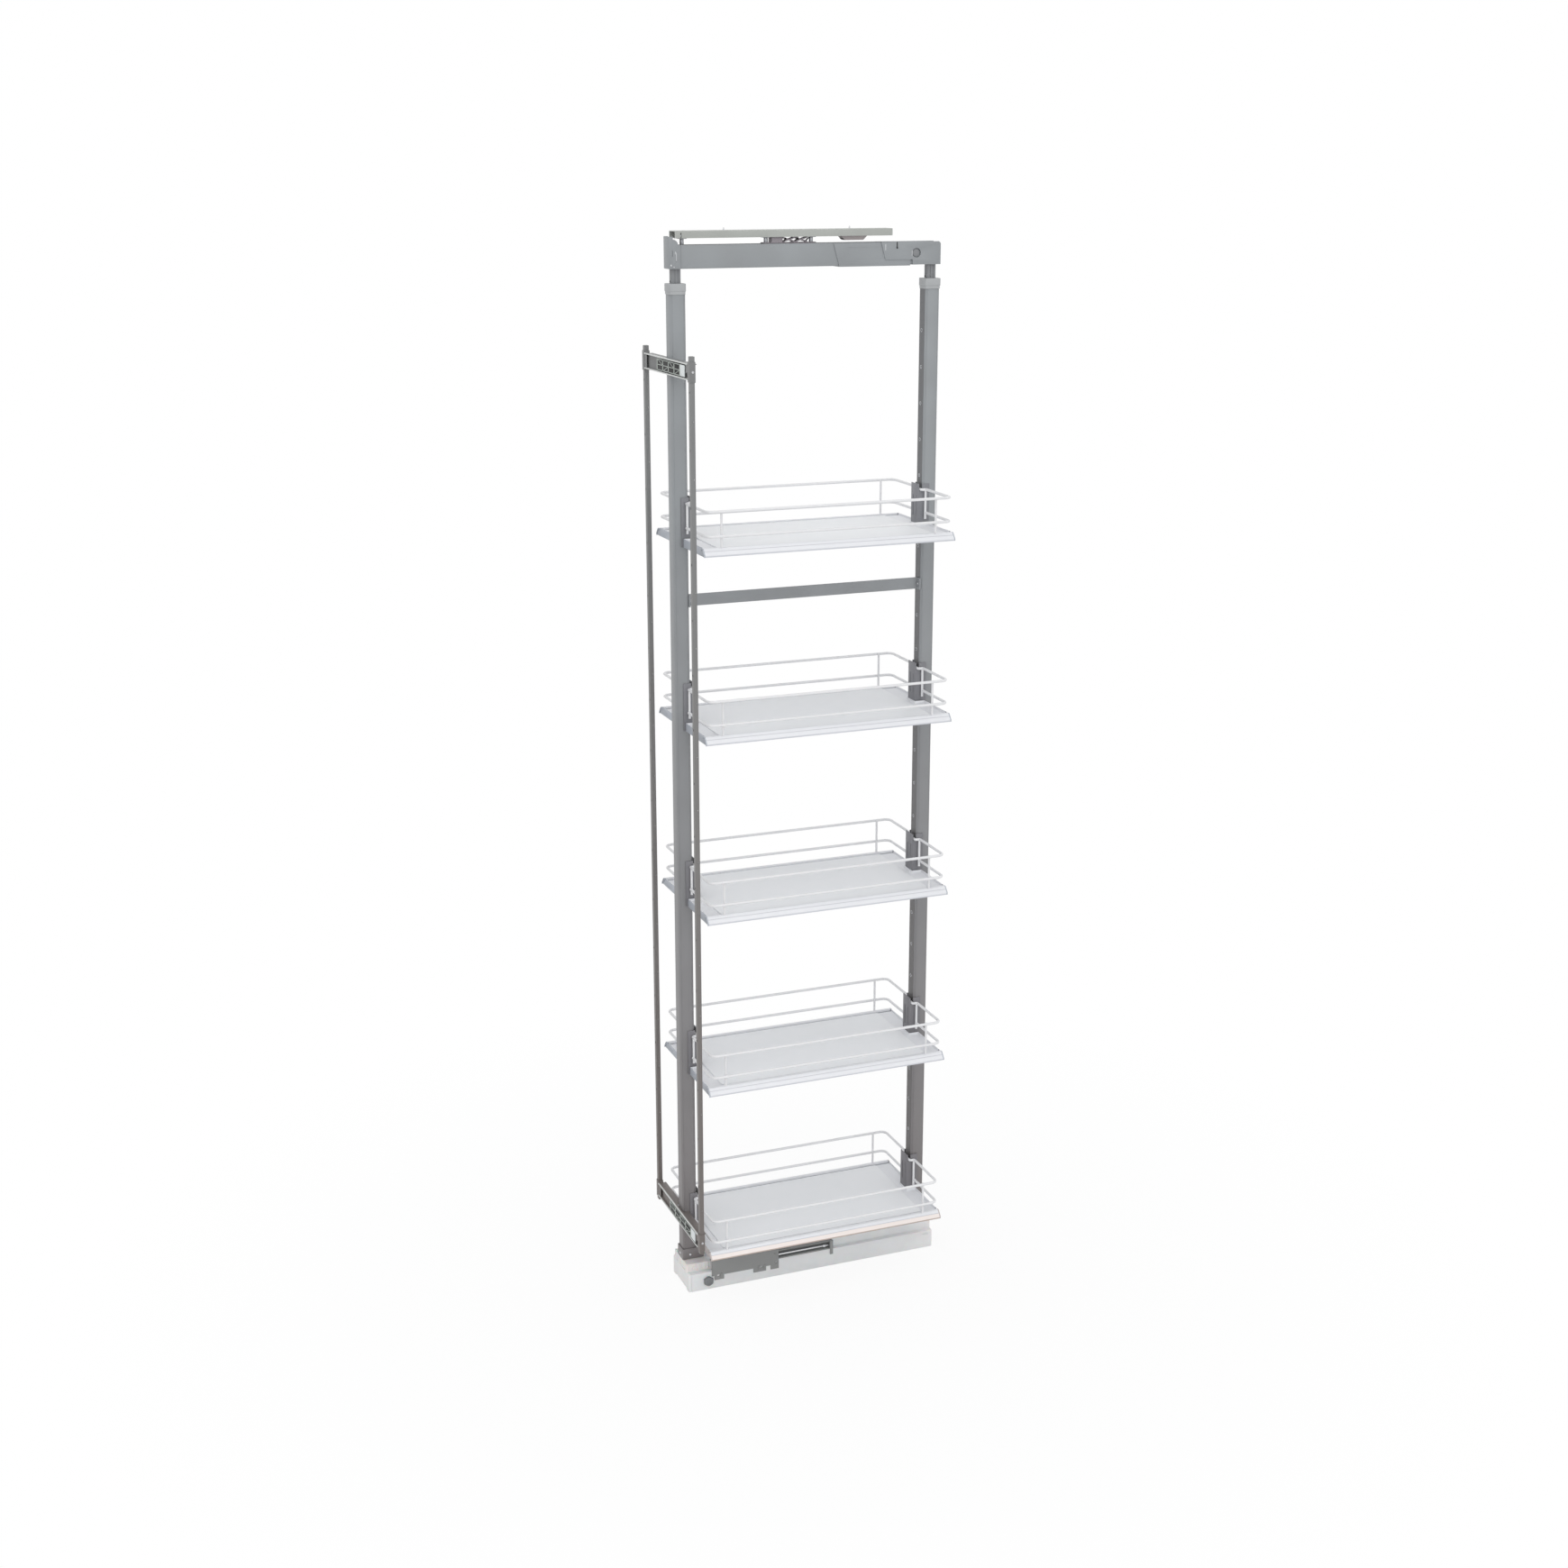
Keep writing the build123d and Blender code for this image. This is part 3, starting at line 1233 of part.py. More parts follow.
with BuildPart() as gallery:
    for wire_z, front_route in ((top_wire_z, top_front), (low_wire_z, low_front)):
        back_route = [(x, -y) for x, y in reversed(front_route)]
        with BuildLine(Plane.XY.offset(wire_z)):
            Polyline(*front_route, *back_route)
        wire_start = (*front_route[0], wire_z)
        with BuildSketch(Plane(origin=wire_start, z_dir=(1, 0, 0))):
            RegularPolygon(wire_radius, wire_sides)
        sweep(transition=Transition.RIGHT)
    with BuildSketch(Plane.XY.offset(tray_rim_z)):
        upright_x = gallery_half_width - wire_radius - upright_radius + wire_weld
        with Locations((upright_x, -upright_y), (upright_x, upright_y)):
            RegularPolygon(upright_radius, wire_sides)
    extrude(amount=top_wire_z + wire_weld - tray_rim_z)
    with BuildSketch(Plane.XY.offset(stub_bottom_z)):
        with Locations((jog_outer_x, -gallery_half_length), (jog_outer_x, gallery_half_length)):
            RegularPolygon(upright_radius, wire_sides)
    extrude(amount=top_wire_z - stub_bottom_z)
    mirror(about=Plane.YZ)

# Post carriers: a sheet channel round each post's inner side, notched for the top wire
carrier_inner_half = post_half_width + slide_gap
carrier_reach_y = post_inner_y + carrier_wrap
with BuildPart() as carriers:
    with BuildSketch(Plane.XY):
        for end in ends:
            with Locations((0, end * (tray_notch_y + carrier_reach_y) / 2)):
                Rectangle(2 * (carrier_inner_half + sheet), carrier_reach_y - tray_notch_y)
            with Locations((0, end * (tray_notch_y + sheet + carrier_reach_y) / 2)):
                Rectangle(
                    2 * carrier_inner_half, carrier_reach_y - tray_notch_y - sheet,
                    mode=Mode.SUBTRACT,
                )
    extrude(amount=carrier_height)
    with BuildSketch(Plane.YZ.offset(-carrier_inner_half - 2 * sheet)):
        with Locations((-jog_y, carrier_height), (jog_y, carrier_height)):
            Rectangle(
                2 * (wire_radius + carrier_notch_margin),
                2 * (carrier_height - top_wire_z + wire_radius),
            )
    extrude(amount=2 * (carrier_inner_half + 2 * sheet), mode=Mode.SUBTRACT)

shelf_pieces = {"tray": tray, "panel": panel, "gallery": gallery, "carriers": carriers}
for shelf in range(shelf_count):
    shelf_place = Location((0, 0, lowest_shelf_z + shelf * shelf_pitch))
    for name, piece in shelf_pieces.items():
        shelf_piece = piece.part.moved(shelf_place)
        shelf_piece.label = f"{name}_{shelf + 1}"
        export_step(shelf_piece, f"parts/{name}_{shelf + 1}.step")
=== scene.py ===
# %% [markdown]
# Pull out pantry frame.
# This lesson dresses a tall larder frame: steel posts on a floor runner, a beam that runs in
# a ceiling guide, five wire edged shelves and a bracket for the door. The engineered model
# gives every place and size. Here each part gets its rounded edges, its bent wires, its
# screws and its finish, and then a camera and soft studio light.
# %% Load the frame
import math

import bpy
from mathutils import Matrix, Vector


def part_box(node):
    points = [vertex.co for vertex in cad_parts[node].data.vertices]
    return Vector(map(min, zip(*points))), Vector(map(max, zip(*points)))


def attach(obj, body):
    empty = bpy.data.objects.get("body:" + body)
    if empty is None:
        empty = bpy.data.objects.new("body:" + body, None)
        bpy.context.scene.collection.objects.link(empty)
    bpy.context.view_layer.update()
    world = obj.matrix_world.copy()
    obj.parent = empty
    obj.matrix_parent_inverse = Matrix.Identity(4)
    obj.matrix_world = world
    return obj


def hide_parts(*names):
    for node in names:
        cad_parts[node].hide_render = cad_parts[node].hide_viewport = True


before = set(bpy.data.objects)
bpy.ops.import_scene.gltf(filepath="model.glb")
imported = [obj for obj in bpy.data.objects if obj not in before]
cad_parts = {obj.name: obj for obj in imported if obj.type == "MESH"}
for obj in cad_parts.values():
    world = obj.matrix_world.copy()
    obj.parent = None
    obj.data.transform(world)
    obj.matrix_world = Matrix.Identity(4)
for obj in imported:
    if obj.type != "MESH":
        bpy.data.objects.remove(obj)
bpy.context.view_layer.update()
MM = 0.001
X = Vector((1, 0, 0))
Y = Vector((0, 1, 0))
Z = Vector((0, 0, 1))

# %% [markdown]
# The camera stands two metres up, to the right of the frame and a little in front, and
# looks slightly down. A lens shift would keep the posts fully parallel in the picture, but
# it would push the frame out of the other views, so the lens stays unshifted.
# %% Camera
camera_place = Vector((3.592, -1.464, 2.074))
camera_turn = math.radians(68.366)
camera_dip = math.radians(15.955)
sensor_width = 36.0
lens_length = 50.527

bpy.ops.object.camera_add(
    location=camera_place, rotation=(math.radians(90) - camera_dip, 0, camera_turn)
)
camera = bpy.context.object
camera.name = "photo_camera"
camera.data.sensor_width = sensor_width
camera.data.lens = lens_length
bpy.context.scene.camera = camera
print("camera", list(camera_place), "lens", lens_length)

# %% [markdown]
# Light and finishes are sums on shader sockets. This small class wraps one socket, so that
# a pattern can be written as ordinary arithmetic, and each operator adds its Math node.
# %% Socket class
class Socket:
    """One output of a shader node, used in sums like a number."""

    def __init__(self, tree, output):
        self.tree = tree
        self.output = output

    def node(self, kind, settings, inputs, output=0):
        """Add a node, set its settings, and fill its sockets with values or links."""
        made = self.tree.nodes.new(kind)
        for name, value in settings.items():
            setattr(made, name, value)
        for key, value in inputs.items():
            if isinstance(value, Socket):
                self.tree.links.new(value.output, made.inputs[key])
            else:
                made.inputs[key].default_value = value
        return Socket(self.tree, made.outputs[output])

    def maths(self, operation, first, second):
        return self.node("ShaderNodeMath", {"operation": operation}, {0: first, 1: second})

    def __add__(self, other):
        return self.maths("ADD", self, other)

    __radd__ = __add__

    def __sub__(self, other):
        return self.maths("SUBTRACT", self, other)

    def __rsub__(self, other):
        return self.maths("SUBTRACT", other, self)

    def __mul__(self, other):
        return self.maths("MULTIPLY", self, other)

    __rmul__ = __mul__

    def __truediv__(self, other):
        return self.maths("DIVIDE", self, other)

    def clamped(self):
        """The same value, kept between 0 and 1."""
        return self.node("ShaderNodeClamp", {}, {"Value": self})

    def within(self, low, high):
        """1 where the value's size, without its sign, lies between low and high."""
        size = self.maths("ABSOLUTE", self, 0)
        return self.maths("GREATER_THAN", size, low) * self.maths("LESS_THAN", size, high)


# %% [markdown]
# The light is a bright, even studio. The world gives most of it. Two very soft suns, one
# beside the camera and one above, make the side of the frame lighter than its front. A sun
# lights the lowest shelf as much as the top one, which lamps near the frame would not do.
# %% World and lamps
def seen_or_mirrored(tree):
    """1 where the camera sees a surface, also in a glossy reflection, and else 0."""
    rays = tree.nodes.new("ShaderNodeLightPath").outputs
    seen = Socket(tree, rays["Is Camera Ray"])
    return seen.maths("MAXIMUM", seen, Socket(tree, rays["Is Glossy Ray"]))


def end_with(tree, share, first, second, end):
    """Mix two shaders by share and link the result to the node that ends the tree."""
    mixed = share.node("ShaderNodeMixShader", {}, {"Fac": share, 1: first, 2: second})
    tree.links.new(mixed.output, tree.nodes[end].inputs["Surface"])


scene = bpy.context.scene
scene.view_settings.view_transform = "Standard"
world_strength = 0.66
suns = {
    "side_sun": ((1.0, -0.15, 0.35), 0.75),
    "top_sun": ((0.25, -0.2, 1.0), 0.7),
}
sun_softness = 70

world = bpy.data.worlds.new("studio")
scene.world = world
world.use_nodes = True
seen = seen_or_mirrored(world.node_tree)
plain, white = (
    seen.node("ShaderNodeBackground", {}, {"Color": (*colour, 1), "Strength": strength})
    for colour, strength in (((0.98, 0.99, 1.0), world_strength), ((1, 1, 1), 1.0))
)
end_with(world.node_tree, seen, plain, white, "World Output")

for name, (side, power) in suns.items():
    bpy.ops.object.light_add(type="SUN", location=3 * Vector(side))
    sun = bpy.context.object
    sun.name = name
    sun.data.energy = power
    sun.data.angle = math.radians(sun_softness)
    sun.rotation_euler = Vector(side).to_track_quat("Z", "Y").to_euler()
print("suns", list(suns), "world", world_strength)

# %% [markdown]
# Every finish starts alike: a Principled shader, and the place on the part in metres, which
# Object coordinates give because each piece's object sits at the origin. The helper returns
# the shader and that place. Colours are mixed with Mix nodes, never with Math nodes.
# %% Helpers for finishes
def new_finish(name, roughness, metallic=0.0):
    """A new material with its Principled shader set, and a socket with the place on it."""
    material = bpy.data.materials.new(name)
    material.use_nodes = True
    tree = material.node_tree
    shader = tree.nodes["Principled BSDF"]
    shader.inputs["Roughness"].default_value = roughness
    shader.inputs["Metallic"].default_value = metallic
    coordinates = tree.nodes.new("ShaderNodeTexCoord")
    print("finish", name)
    return material, shader, Socket(tree, coordinates.outputs["Object"])


def noise(place, scale, detail=2.0):
    """Soft noise from 0 to 1, with about scale blobs in a metre."""
    return place.node(
        "ShaderNodeTexNoise", {"noise_dimensions": "3D"},
        {"Vector": place, "Scale": scale, "Detail": detail, "Roughness": 0.55},
    )


def along(place, axis):
    """The distance along one axis in metres; Z is the height above the cabinet's floor."""
    return place.node("ShaderNodeSeparateXYZ", {}, {0: place}, output=axis)


def mix_colours(place, factor, first, second):
    """A colour between two others; each is three numbers or a socket."""
    first, second = (
        colour if isinstance(colour, Socket) else (*colour, 1) for colour in (first, second)
    )
    return place.node(
        "ShaderNodeMix", {"data_type": "RGBA"}, {"Factor": factor, 6: first, 7: second}, output=2
    )


def feed(shader, place, **sockets):
    """Link values to the shader's sockets, named with underscores for spaces."""
    for name, value in sockets.items():
        place.tree.links.new(value.output, shader.inputs[name.replace("_", " ")])


def bump(place, height, strength, distance):
    """A normal that follows height, as fine relief of that distance in metres."""
    return place.node(
        "ShaderNodeBump", {}, {"Height": height, "Strength": strength, "Distance": distance}
    )


def srgb(red, green, blue):
    """Turn a colour written as on a screen, 0 to 255, into the shader's light values."""
    return tuple(
        (c / 255 / 12.92) if c / 255 <= 0.04045 else ((c / 255 + 0.055) / 1.055) ** 2.4
        for c in (red, green, blue)
    )


# %% [markdown]
# Powder coat is baked plastic dust. Close up it has a faint orange peel, and over a long
# post its tone drifts a little. The lower end is painted browner, as painted warm bounce light
# from the floor and the pale shelves, so the tone also changes with height.
# %% Powder coated steel
tone_height = 1.5


def powder_coat(name, top, bottom, roughness=0.42, peel=0.25):
    """Coated steel that goes from one tone at the bottom to another at the top."""
    material, shader, place = new_finish(name, roughness)
    # Painted warm bounce light: the bottom tone fades into the top one over tone_height.
    rise = (along(place, "Z") / tone_height).clamped()
    tone = mix_colours(place, rise, bottom, top)
    drift = (noise(place, 9.0) - 0.5) * 0.5
    darker = mix_colours(place, (drift + 0.15).clamped(), tone, srgb(104, 103, 102))
    grain = noise(place, 1400.0, 1.0)
    feed(
        shader, place, Base_Color=darker,
        Roughness=grain * 0.10 + (roughness - 0.05),
        Normal=bump(place, grain, peel, 0.00012),
    )
    return material


# The browner bottom tones are painted warm bounce light from the floor and the shelves.
frame_grey = powder_coat("frame_powder_coat", srgb(152, 156, 159), srgb(127, 121, 121))
door_grey = powder_coat("door_bar_coat", srgb(128, 129, 129), srgb(112, 103, 99))
# The dark strip tone is painted shade for the shadowed channel on the posts' inner faces.
strip_shade_grey = powder_coat("hole_strip_painted_shade", srgb(98, 99, 102), srgb(90, 85, 84))
bar_grey = powder_coat("inner_bar_coat", srgb(136, 138, 141), srgb(136, 138, 141))
carrier_grey = powder_coat("carrier_coat", srgb(130, 131, 136), srgb(122, 119, 123))

# %% [markdown]
# The painted light on a tray follows its height, and most pieces are made to fit the
# engineered one.
# This helper reads the box round an engineered piece, in millimetres.
# %% Box of an engineered piece
def low_high(node):
    """A node's lowest and highest corner in millimetres."""
    low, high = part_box(node)
    return low / MM, high / MM


# %% [markdown]
# The trays and wires are coated white. Wire is dipped, so its coat is thicker and shinier
# than a sheet's, with slow waves where it ran. The panel on each tray is a pale board with a
# very fine matt grain.
# %% White coats
def white_coat(name, colour, shade, roughness, wave_scale, wave_depth, painted_light=None):
    """A white coat with faint slow waves, a fine grain, and any painted light in the tone."""
    material, shader, place = new_finish(name, roughness)
    waves = noise(place, wave_scale)
    tone = mix_colours(place, (waves * 1.6 - 0.5).clamped(), colour, shade)
    if painted_light:
        tone = painted_light(place, tone)
    grain = noise(place, 1800.0, 1.0)
    feed(
        shader, place, Base_Color=tone,
        Roughness=grain * 0.12 + (roughness - 0.06),
        Normal=bump(place, waves * 0.8 + grain * 0.2, 0.3, wave_depth),
    )
    return material


first_shelf = low_high("tray_1")[0].z * MM
shelf_step = low_high("tray_2")[0].z * MM - first_shelf
# Places of the painted shade on a tray, in metres.
panel_gap = (0.108, 0.1123)
rim_line = (0.1223, 0.1232)
skirt_x = 0.1262
flange_y = 0.2326
low_edge_height = 0.0036
below_shelf = 0.001


def tray_painted_light(place, tone):
    """Painted shade on the panel gap, rim line, flanges and low edges; warm bounce on the lowest.
    """
    x, y, z = (along(place, axis) for axis in "XYZ")
    # Painted warm bounce light from the floor on the lowest tray, and painted shade on edges and
    # flanges.
    lowest = ((0.3 - z) * 5.0).clamped()
    edge_shade_tone = mix_colours(place, lowest, srgb(206, 208, 214), srgb(184, 168, 159))
    flange_shade_tone = mix_colours(place, lowest, srgb(180, 185, 193), srgb(192, 183, 179))
    tone = mix_colours(place, lowest * x.within(rim_line[1], 1), tone, srgb(240, 230, 225))
    # Painted shade on the rim line at the fold and in the gap round the panel.
    tone = mix_colours(place, x.within(*rim_line), tone, srgb(204, 204, 209))
    tone = mix_colours(place, x.within(*panel_gap), tone, srgb(160, 162, 168))
    # Painted shade on the low vertical edge of every tray, and on the end flanges.
    height = z - first_shelf + below_shelf
    local = height.maths("MODULO", height, shelf_step)
    low_edge = local.maths("LESS_THAN", local, low_edge_height) * x.within(skirt_x, 1)
    tone = mix_colours(place, low_edge, tone, edge_shade_tone)
    return mix_colours(place, y.within(flange_y, 1), tone, flange_shade_tone)


tray_white = white_coat("tray_coat", srgb(232, 233, 236), srgb(228, 229, 233), 0.35, 60, 0.0001,
                        tray_painted_light)
wire_white = white_coat("wire_coat", srgb(231, 231, 232), srgb(226, 226, 228), 0.28, 120, 0.00003)
panel_grey = white_coat("panel_board", srgb(239, 240, 242), srgb(236, 238, 240), 0.5, 30, 0.00005)

# %% [markdown]
# Moulded plastic is smoother, with a satin skin from the mould and slight flow clouds. The
# white housing is a little see-through, so light scatters inside it. A touch of subsurface
# scattering says that, and stays the same all over.
# %% Moulded plastics
def moulded(name, colour, shade, roughness, scatter=0.0):
    """Satin moulded plastic with flow clouds and a fine spark eroded skin."""
    material, shader, place = new_finish(name, roughness)
    clouds = noise(place, 35.0)
    tone = mix_colours(place, (clouds * 1.8 - 0.6).clamped(), colour, shade)
    skin = noise(place, 2600.0, 1.0)
    shader.inputs["Subsurface Weight"].default_value = scatter
    shader.inputs["Subsurface Scale"].default_value = 0.01
    feed(
        shader, place, Base_Color=tone,
        Roughness=skin * 0.14 + (roughness - 0.07),
        Normal=bump(place, skin, 0.25, 0.00008),
    )
    return material


housing_white = moulded("housing_plastic", srgb(233, 231, 231), srgb(227, 224, 225), 0.45, 0.15)
block_clear = moulded("front_block_plastic", srgb(232, 229, 226), srgb(224, 221, 220), 0.35, 0.3)
cap_grey = moulded("cap_plastic", srgb(172, 174, 175), srgb(165, 167, 169), 0.5)
nylon = moulded("nylon", srgb(222, 222, 217), srgb(214, 214, 210), 0.4, 0.1)
black_plastic_and_shade = moulded("adjuster_black", srgb(10, 11, 11), srgb(15, 16, 16), 0.6)
pale_ribs = moulded("adjuster_ribs", srgb(176, 184, 176), srgb(166, 173, 167), 0.4)
insert_white = moulded("adjuster_insert", srgb(226, 231, 231), srgb(216, 222, 222), 0.35)
pad_mauve = moulded("guide_plastic", srgb(154, 147, 153), srgb(147, 141, 147), 0.5)
catch_pink = moulded("catch_plastic", srgb(168, 160, 160), srgb(161, 153, 154), 0.5)
stop_rubber = moulded("stop_rubber", srgb(38, 38, 38), srgb(30, 30, 30), 0.75)

# %% [markdown]
# Bare metal is left where parts roll or turn. Drawn and rolled steel has fine lines along
# its length, so the noise is stretched along Y. Screws and rivets are bright zinc.
# %% Bare metals
def drawn_steel(name, colour, roughness, stretch=(1, 0.02, 1), metallic=0.9):
    """Bright or plated steel with fine lines along its length."""
    material, shader, place = new_finish(name, roughness, metallic)
    stretched = place.node(
        "ShaderNodeVectorMath", {"operation": "MULTIPLY"}, {0: place, 1: stretch}
    )
    lines = noise(stretched, 2200.0, 3.0)
    tone = mix_colours(place, lines, colour, tuple(0.82 * c for c in colour))
    feed(
        shader, place, Base_Color=tone,
        Roughness=lines * 0.2 + (roughness - 0.1),
        Normal=bump(place, lines, 0.2, 0.00005),
    )
    return material


runner_steel = drawn_steel("runner_zinc", srgb(190, 192, 194), 0.38)
rail_beige = powder_coat("ceiling_rail_coat", srgb(179, 182, 177), srgb(179, 182, 177))
slide_steel = drawn_steel("slide_bar_steel", srgb(178, 180, 184), 0.4)
bright_steel = drawn_steel("bright_zinc", srgb(205, 206, 208), 0.25)
# The same pale zinc also paints the highlights along the bracket slots.
pale_zinc_and_highlight = drawn_steel("hole_rim_zinc_and_slot_highlight", srgb(214, 216, 218), 0.45, metallic=0.3)
plate_steel = powder_coat("side_plate_coat", srgb(147, 148, 147), srgb(147, 148, 147))
bolt_steel = drawn_steel("bolt_steel", srgb(128, 130, 132), 0.4, metallic=0.4)

# %% [markdown]
# Modelling helpers come next. An operator acts on all that is selected, so each helper
# clears the selection first. Blocks and rods are primitives at their real size and place,
# and their place is then moved into the mesh, so that every object stays at the origin.
# %% Primitive helpers
def deselect():
    """Clear the selection, because an operator acts on all that is selected."""
    bpy.ops.object.select_all(action="DESELECT")


def only(*objects):
    """Select these objects and no others; the first is the active one."""
    deselect()
    for chosen in objects:
        chosen.select_set(True)
    bpy.context.view_layer.objects.active = objects[0]
    return objects[0]


def smooth(piece, degrees):
    """Shade smoothly over every edge that turns by less than this angle."""
    only(piece)
    bpy.ops.object.shade_smooth_by_angle(angle=math.radians(degrees))


def settle():
    """Move the new primitive's place, turn and size into its mesh."""
    made = bpy.context.object
    only(made)
    bpy.ops.object.transform_apply(location=True, rotation=True, scale=True)
    return made


def block(low, high):
    """A box between two corners in millimetres."""
    low = Vector(low) * MM
    high = Vector(high) * MM
    deselect()
    bpy.ops.mesh.primitive_cube_add(size=1, location=(low + high) / 2)
    bpy.context.object.scale = high - low
    return settle()


def rod(start, end, radius, sides=24):
    """A round bar between two points in millimetres."""
    start = Vector(start) * MM
    end = Vector(end) * MM
    line = end - start
    deselect()
    bpy.ops.mesh.primitive_cylinder_add(
        vertices=sides, radius=radius * MM, depth=line.length, location=(start + end) / 2,
        rotation=line.to_track_quat("Z", "Y").to_euler(),
    )
    return settle()


# %% [markdown]
# Real edges are never perfectly sharp. A Bevel modifier, limited to edges that turn by more
# than an angle, gives each part the small radius that catches the light. Holes and slots are
# cut with the Boolean modifier, and joined pieces become one mesh.
# %% Modifier helpers
def modify(piece, kind, **settings):
    """Add a modifier with these settings and apply it."""
    only(piece)
    modifier = piece.modifiers.new(kind.lower(), kind)
    for name, value in settings.items():
        setattr(modifier, name, value)
    bpy.ops.object.modifier_apply(modifier=modifier.name)
    return piece


def soften(piece, width, segments=2, angle=30):
    """Round every edge that turns by more than angle, and shade the curves smoothly."""
    modify(
        piece, "BEVEL", width=width * MM, segments=segments, limit_method="ANGLE",
        angle_limit=math.radians(angle),
    )
    smooth(piece, 35)
    return piece


def carve(piece, *cutters):
    """Cut the cutters out of the piece and delete them."""
    cutter = join(*cutters)
    modify(piece, "BOOLEAN", operation="DIFFERENCE", object=cutter, solver="EXACT")
    bpy.data.objects.remove(cutter)
    return piece


def join(*pieces):
    """Make one mesh of several pieces; the first keeps its name."""
    first = only(*pieces)
    if len(pieces) > 1:
        bpy.ops.object.join()
    return first


def moved_copy(piece, name, offset):
    """A copy with its own mesh, moved by offset in millimetres."""
    copy = bpy.data.objects.new(name, piece.data.copy())
    bpy.context.collection.objects.link(copy)
    copy.data.transform(Matrix.Translation(Vector(offset) * MM))
    return copy


# %% [markdown]
# Folded sheet parts already have their true shape in the engineered model, so a copy of
# that mesh is the best start. Its loose triangles are merged and flat areas dissolved into
# single faces, and then its edges can be rounded like a real pressing's.
# %% Start from the engineered shape
def edit(piece, *operators):
    """Run edit mode operators, each with its settings, on all of a piece."""
    only(piece)
    bpy.ops.object.mode_set(mode="EDIT")
    bpy.ops.mesh.select_all(action="SELECT")
    for operator, settings in operators:
        operator(**settings)
    bpy.ops.object.mode_set(mode="OBJECT")


def from_frame(node, name, width, segments=2):
    """A copy of a node's mesh with merged faces and rounded edges."""
    piece = bpy.data.objects.new(name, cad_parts[node].data.copy())
    bpy.context.collection.objects.link(piece)
    piece.data.materials.clear()
    edit(piece, (bpy.ops.mesh.remove_doubles, {"threshold": 1e-6}),
         (bpy.ops.mesh.dissolve_limited, {"angle_limit": math.radians(1)}))
    if width:
        soften(piece, width, segments)
    return piece


def finish(piece, material, body, slot_name, *replaced, name=None):
    """Give a piece its material, body, the nodes it stands for, a name; slot_name is not used."""
    if name:
        piece.name = name
    piece.data.materials.clear()
    piece.data.materials.append(material)
    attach(piece, body)
    if replaced:
        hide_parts(*replaced)
    print(piece.name, "with", len(piece.data.polygons), "faces, on", body)
    return piece


def dress(node, name, width, segments, material, body, slot_name, *cutters):
    """Finish a node in its own shape, softened, with the cutters carved out."""
    piece = from_frame(node, name, width, segments)
    if cutters:
        carve(piece, *cutters)
    return finish(piece, material, body, slot_name, node)


# %% [markdown]
# Some edges need a wider bevel than the rest. With no mouse to click with, they are picked in
# code, by their place and direction, and only those are bevelled in edit mode.
# %% Bevel chosen edges
def stands_upright(middle, way):
    """True for an edge that runs up and down, wherever its middle is."""
    return abs(way.z) > 0.9


def bevel_edges(piece, width, segments, test=stands_upright):
    """Bevel the edges whose middle, in millimetres, and direction pass the test."""
    mesh = piece.data
    for part in (mesh.vertices, mesh.edges, mesh.polygons):
        for item in part:
            item.select = False
    for edge in mesh.edges:
        start, end = (mesh.vertices[v].co for v in edge.vertices)
        edge.select = test((start + end) / 2 / MM, (end - start).normalized())
    only(piece)
    bpy.ops.object.mode_set(mode="EDIT")
    bpy.ops.mesh.select_mode(type="EDGE")
    bpy.ops.mesh.bevel(offset=width * MM, segments=segments, affect="EDGES")
    bpy.ops.object.mode_set(mode="OBJECT")


# %% [markdown]
# The two posts are square tubes with a bevel along each corner and fine rolled lines beside
# it. The face that looks at the shelves carries a darker strip, painted shade for its shadowed
# channel, with a row of small holes for the shelf hooks, each with a bright rim. Each post is
# a block, bevelled along its upright edges only, bored out, and pierced by a row of small rods.
# %% Posts
corner_bevel = 3.0
post_wall = 2.0
hole_radius = 2.5
hole_pitch = 64.0
first_hole_z = 112.0
hole_count = 27
line_inset = 3.4
line_size = 0.45
strip_half_width = 10.0
strip_depth = 0.5
rim_radius = 3.1
rim_height = 0.6
rim_wall = 0.4
drill_reach = 4
hole_strips = []
hole_rims = []
for node, inward in (("front_post", 1), ("rear_post", -1)):
    low, high = low_high(node)
    post = block(low, high)
    bevel_edges(post, corner_bevel, 1)
    bore = block(low + Vector((post_wall, post_wall, -1)),
                 high - Vector((post_wall, post_wall, -1)))
    inner_y = high.y if inward > 0 else low.y
    # The darker strip is painted shade for the shadowed channel on this face.
    strip = block((-strip_half_width, min(inner_y, inner_y + strip_depth * inward), low.z),
                  (strip_half_width, max(inner_y, inner_y + strip_depth * inward), high.z))
    heights = [first_hole_z + i * hole_pitch for i in range(hole_count)]
    for piece in (post, strip):
        carve(piece, *(rod((0, inner_y - drill_reach * inward, z),
                           (0, inner_y + drill_reach * inward, z), hole_radius, 16)
                       for z in heights))
    for z in heights:
        start = inner_y + strip_depth * inward * 0.5
        rim = rod((0, start, z), (0, start + rim_height * inward, z), rim_radius, 20)
        carve(rim, rod((0, inner_y - inward, z), (0, inner_y + 3 * inward, z),
                       hole_radius - rim_wall, 16))
        hole_rims.append(rim)
    carve(post, bore)
    carve(post, *(
        block((side * high.x - line_size, y - line_size, low.z - 1),
              (side * high.x + line_size, y + line_size, high.z + 1))
        for side in (-1, 1) for y in (low.y + line_inset, high.y - line_inset)
    ))
    soften(post, 0.3)
    finish(post, frame_grey, "frame", "frame_grey", node, name=f"{node}_tube")
    soften(strip, 0.2)
    bpy.ops.object.shade_flat()
    hole_strips.append(strip)
strips = join(*hole_strips)
finish(strips, strip_shade_grey, "frame", "frame_grey", name="post_hole_shade_strips")
finish(join(*hole_rims), pale_zinc_and_highlight, "frame", "bright_steel", name="post_hole_rims")
print("post holes", hole_count)

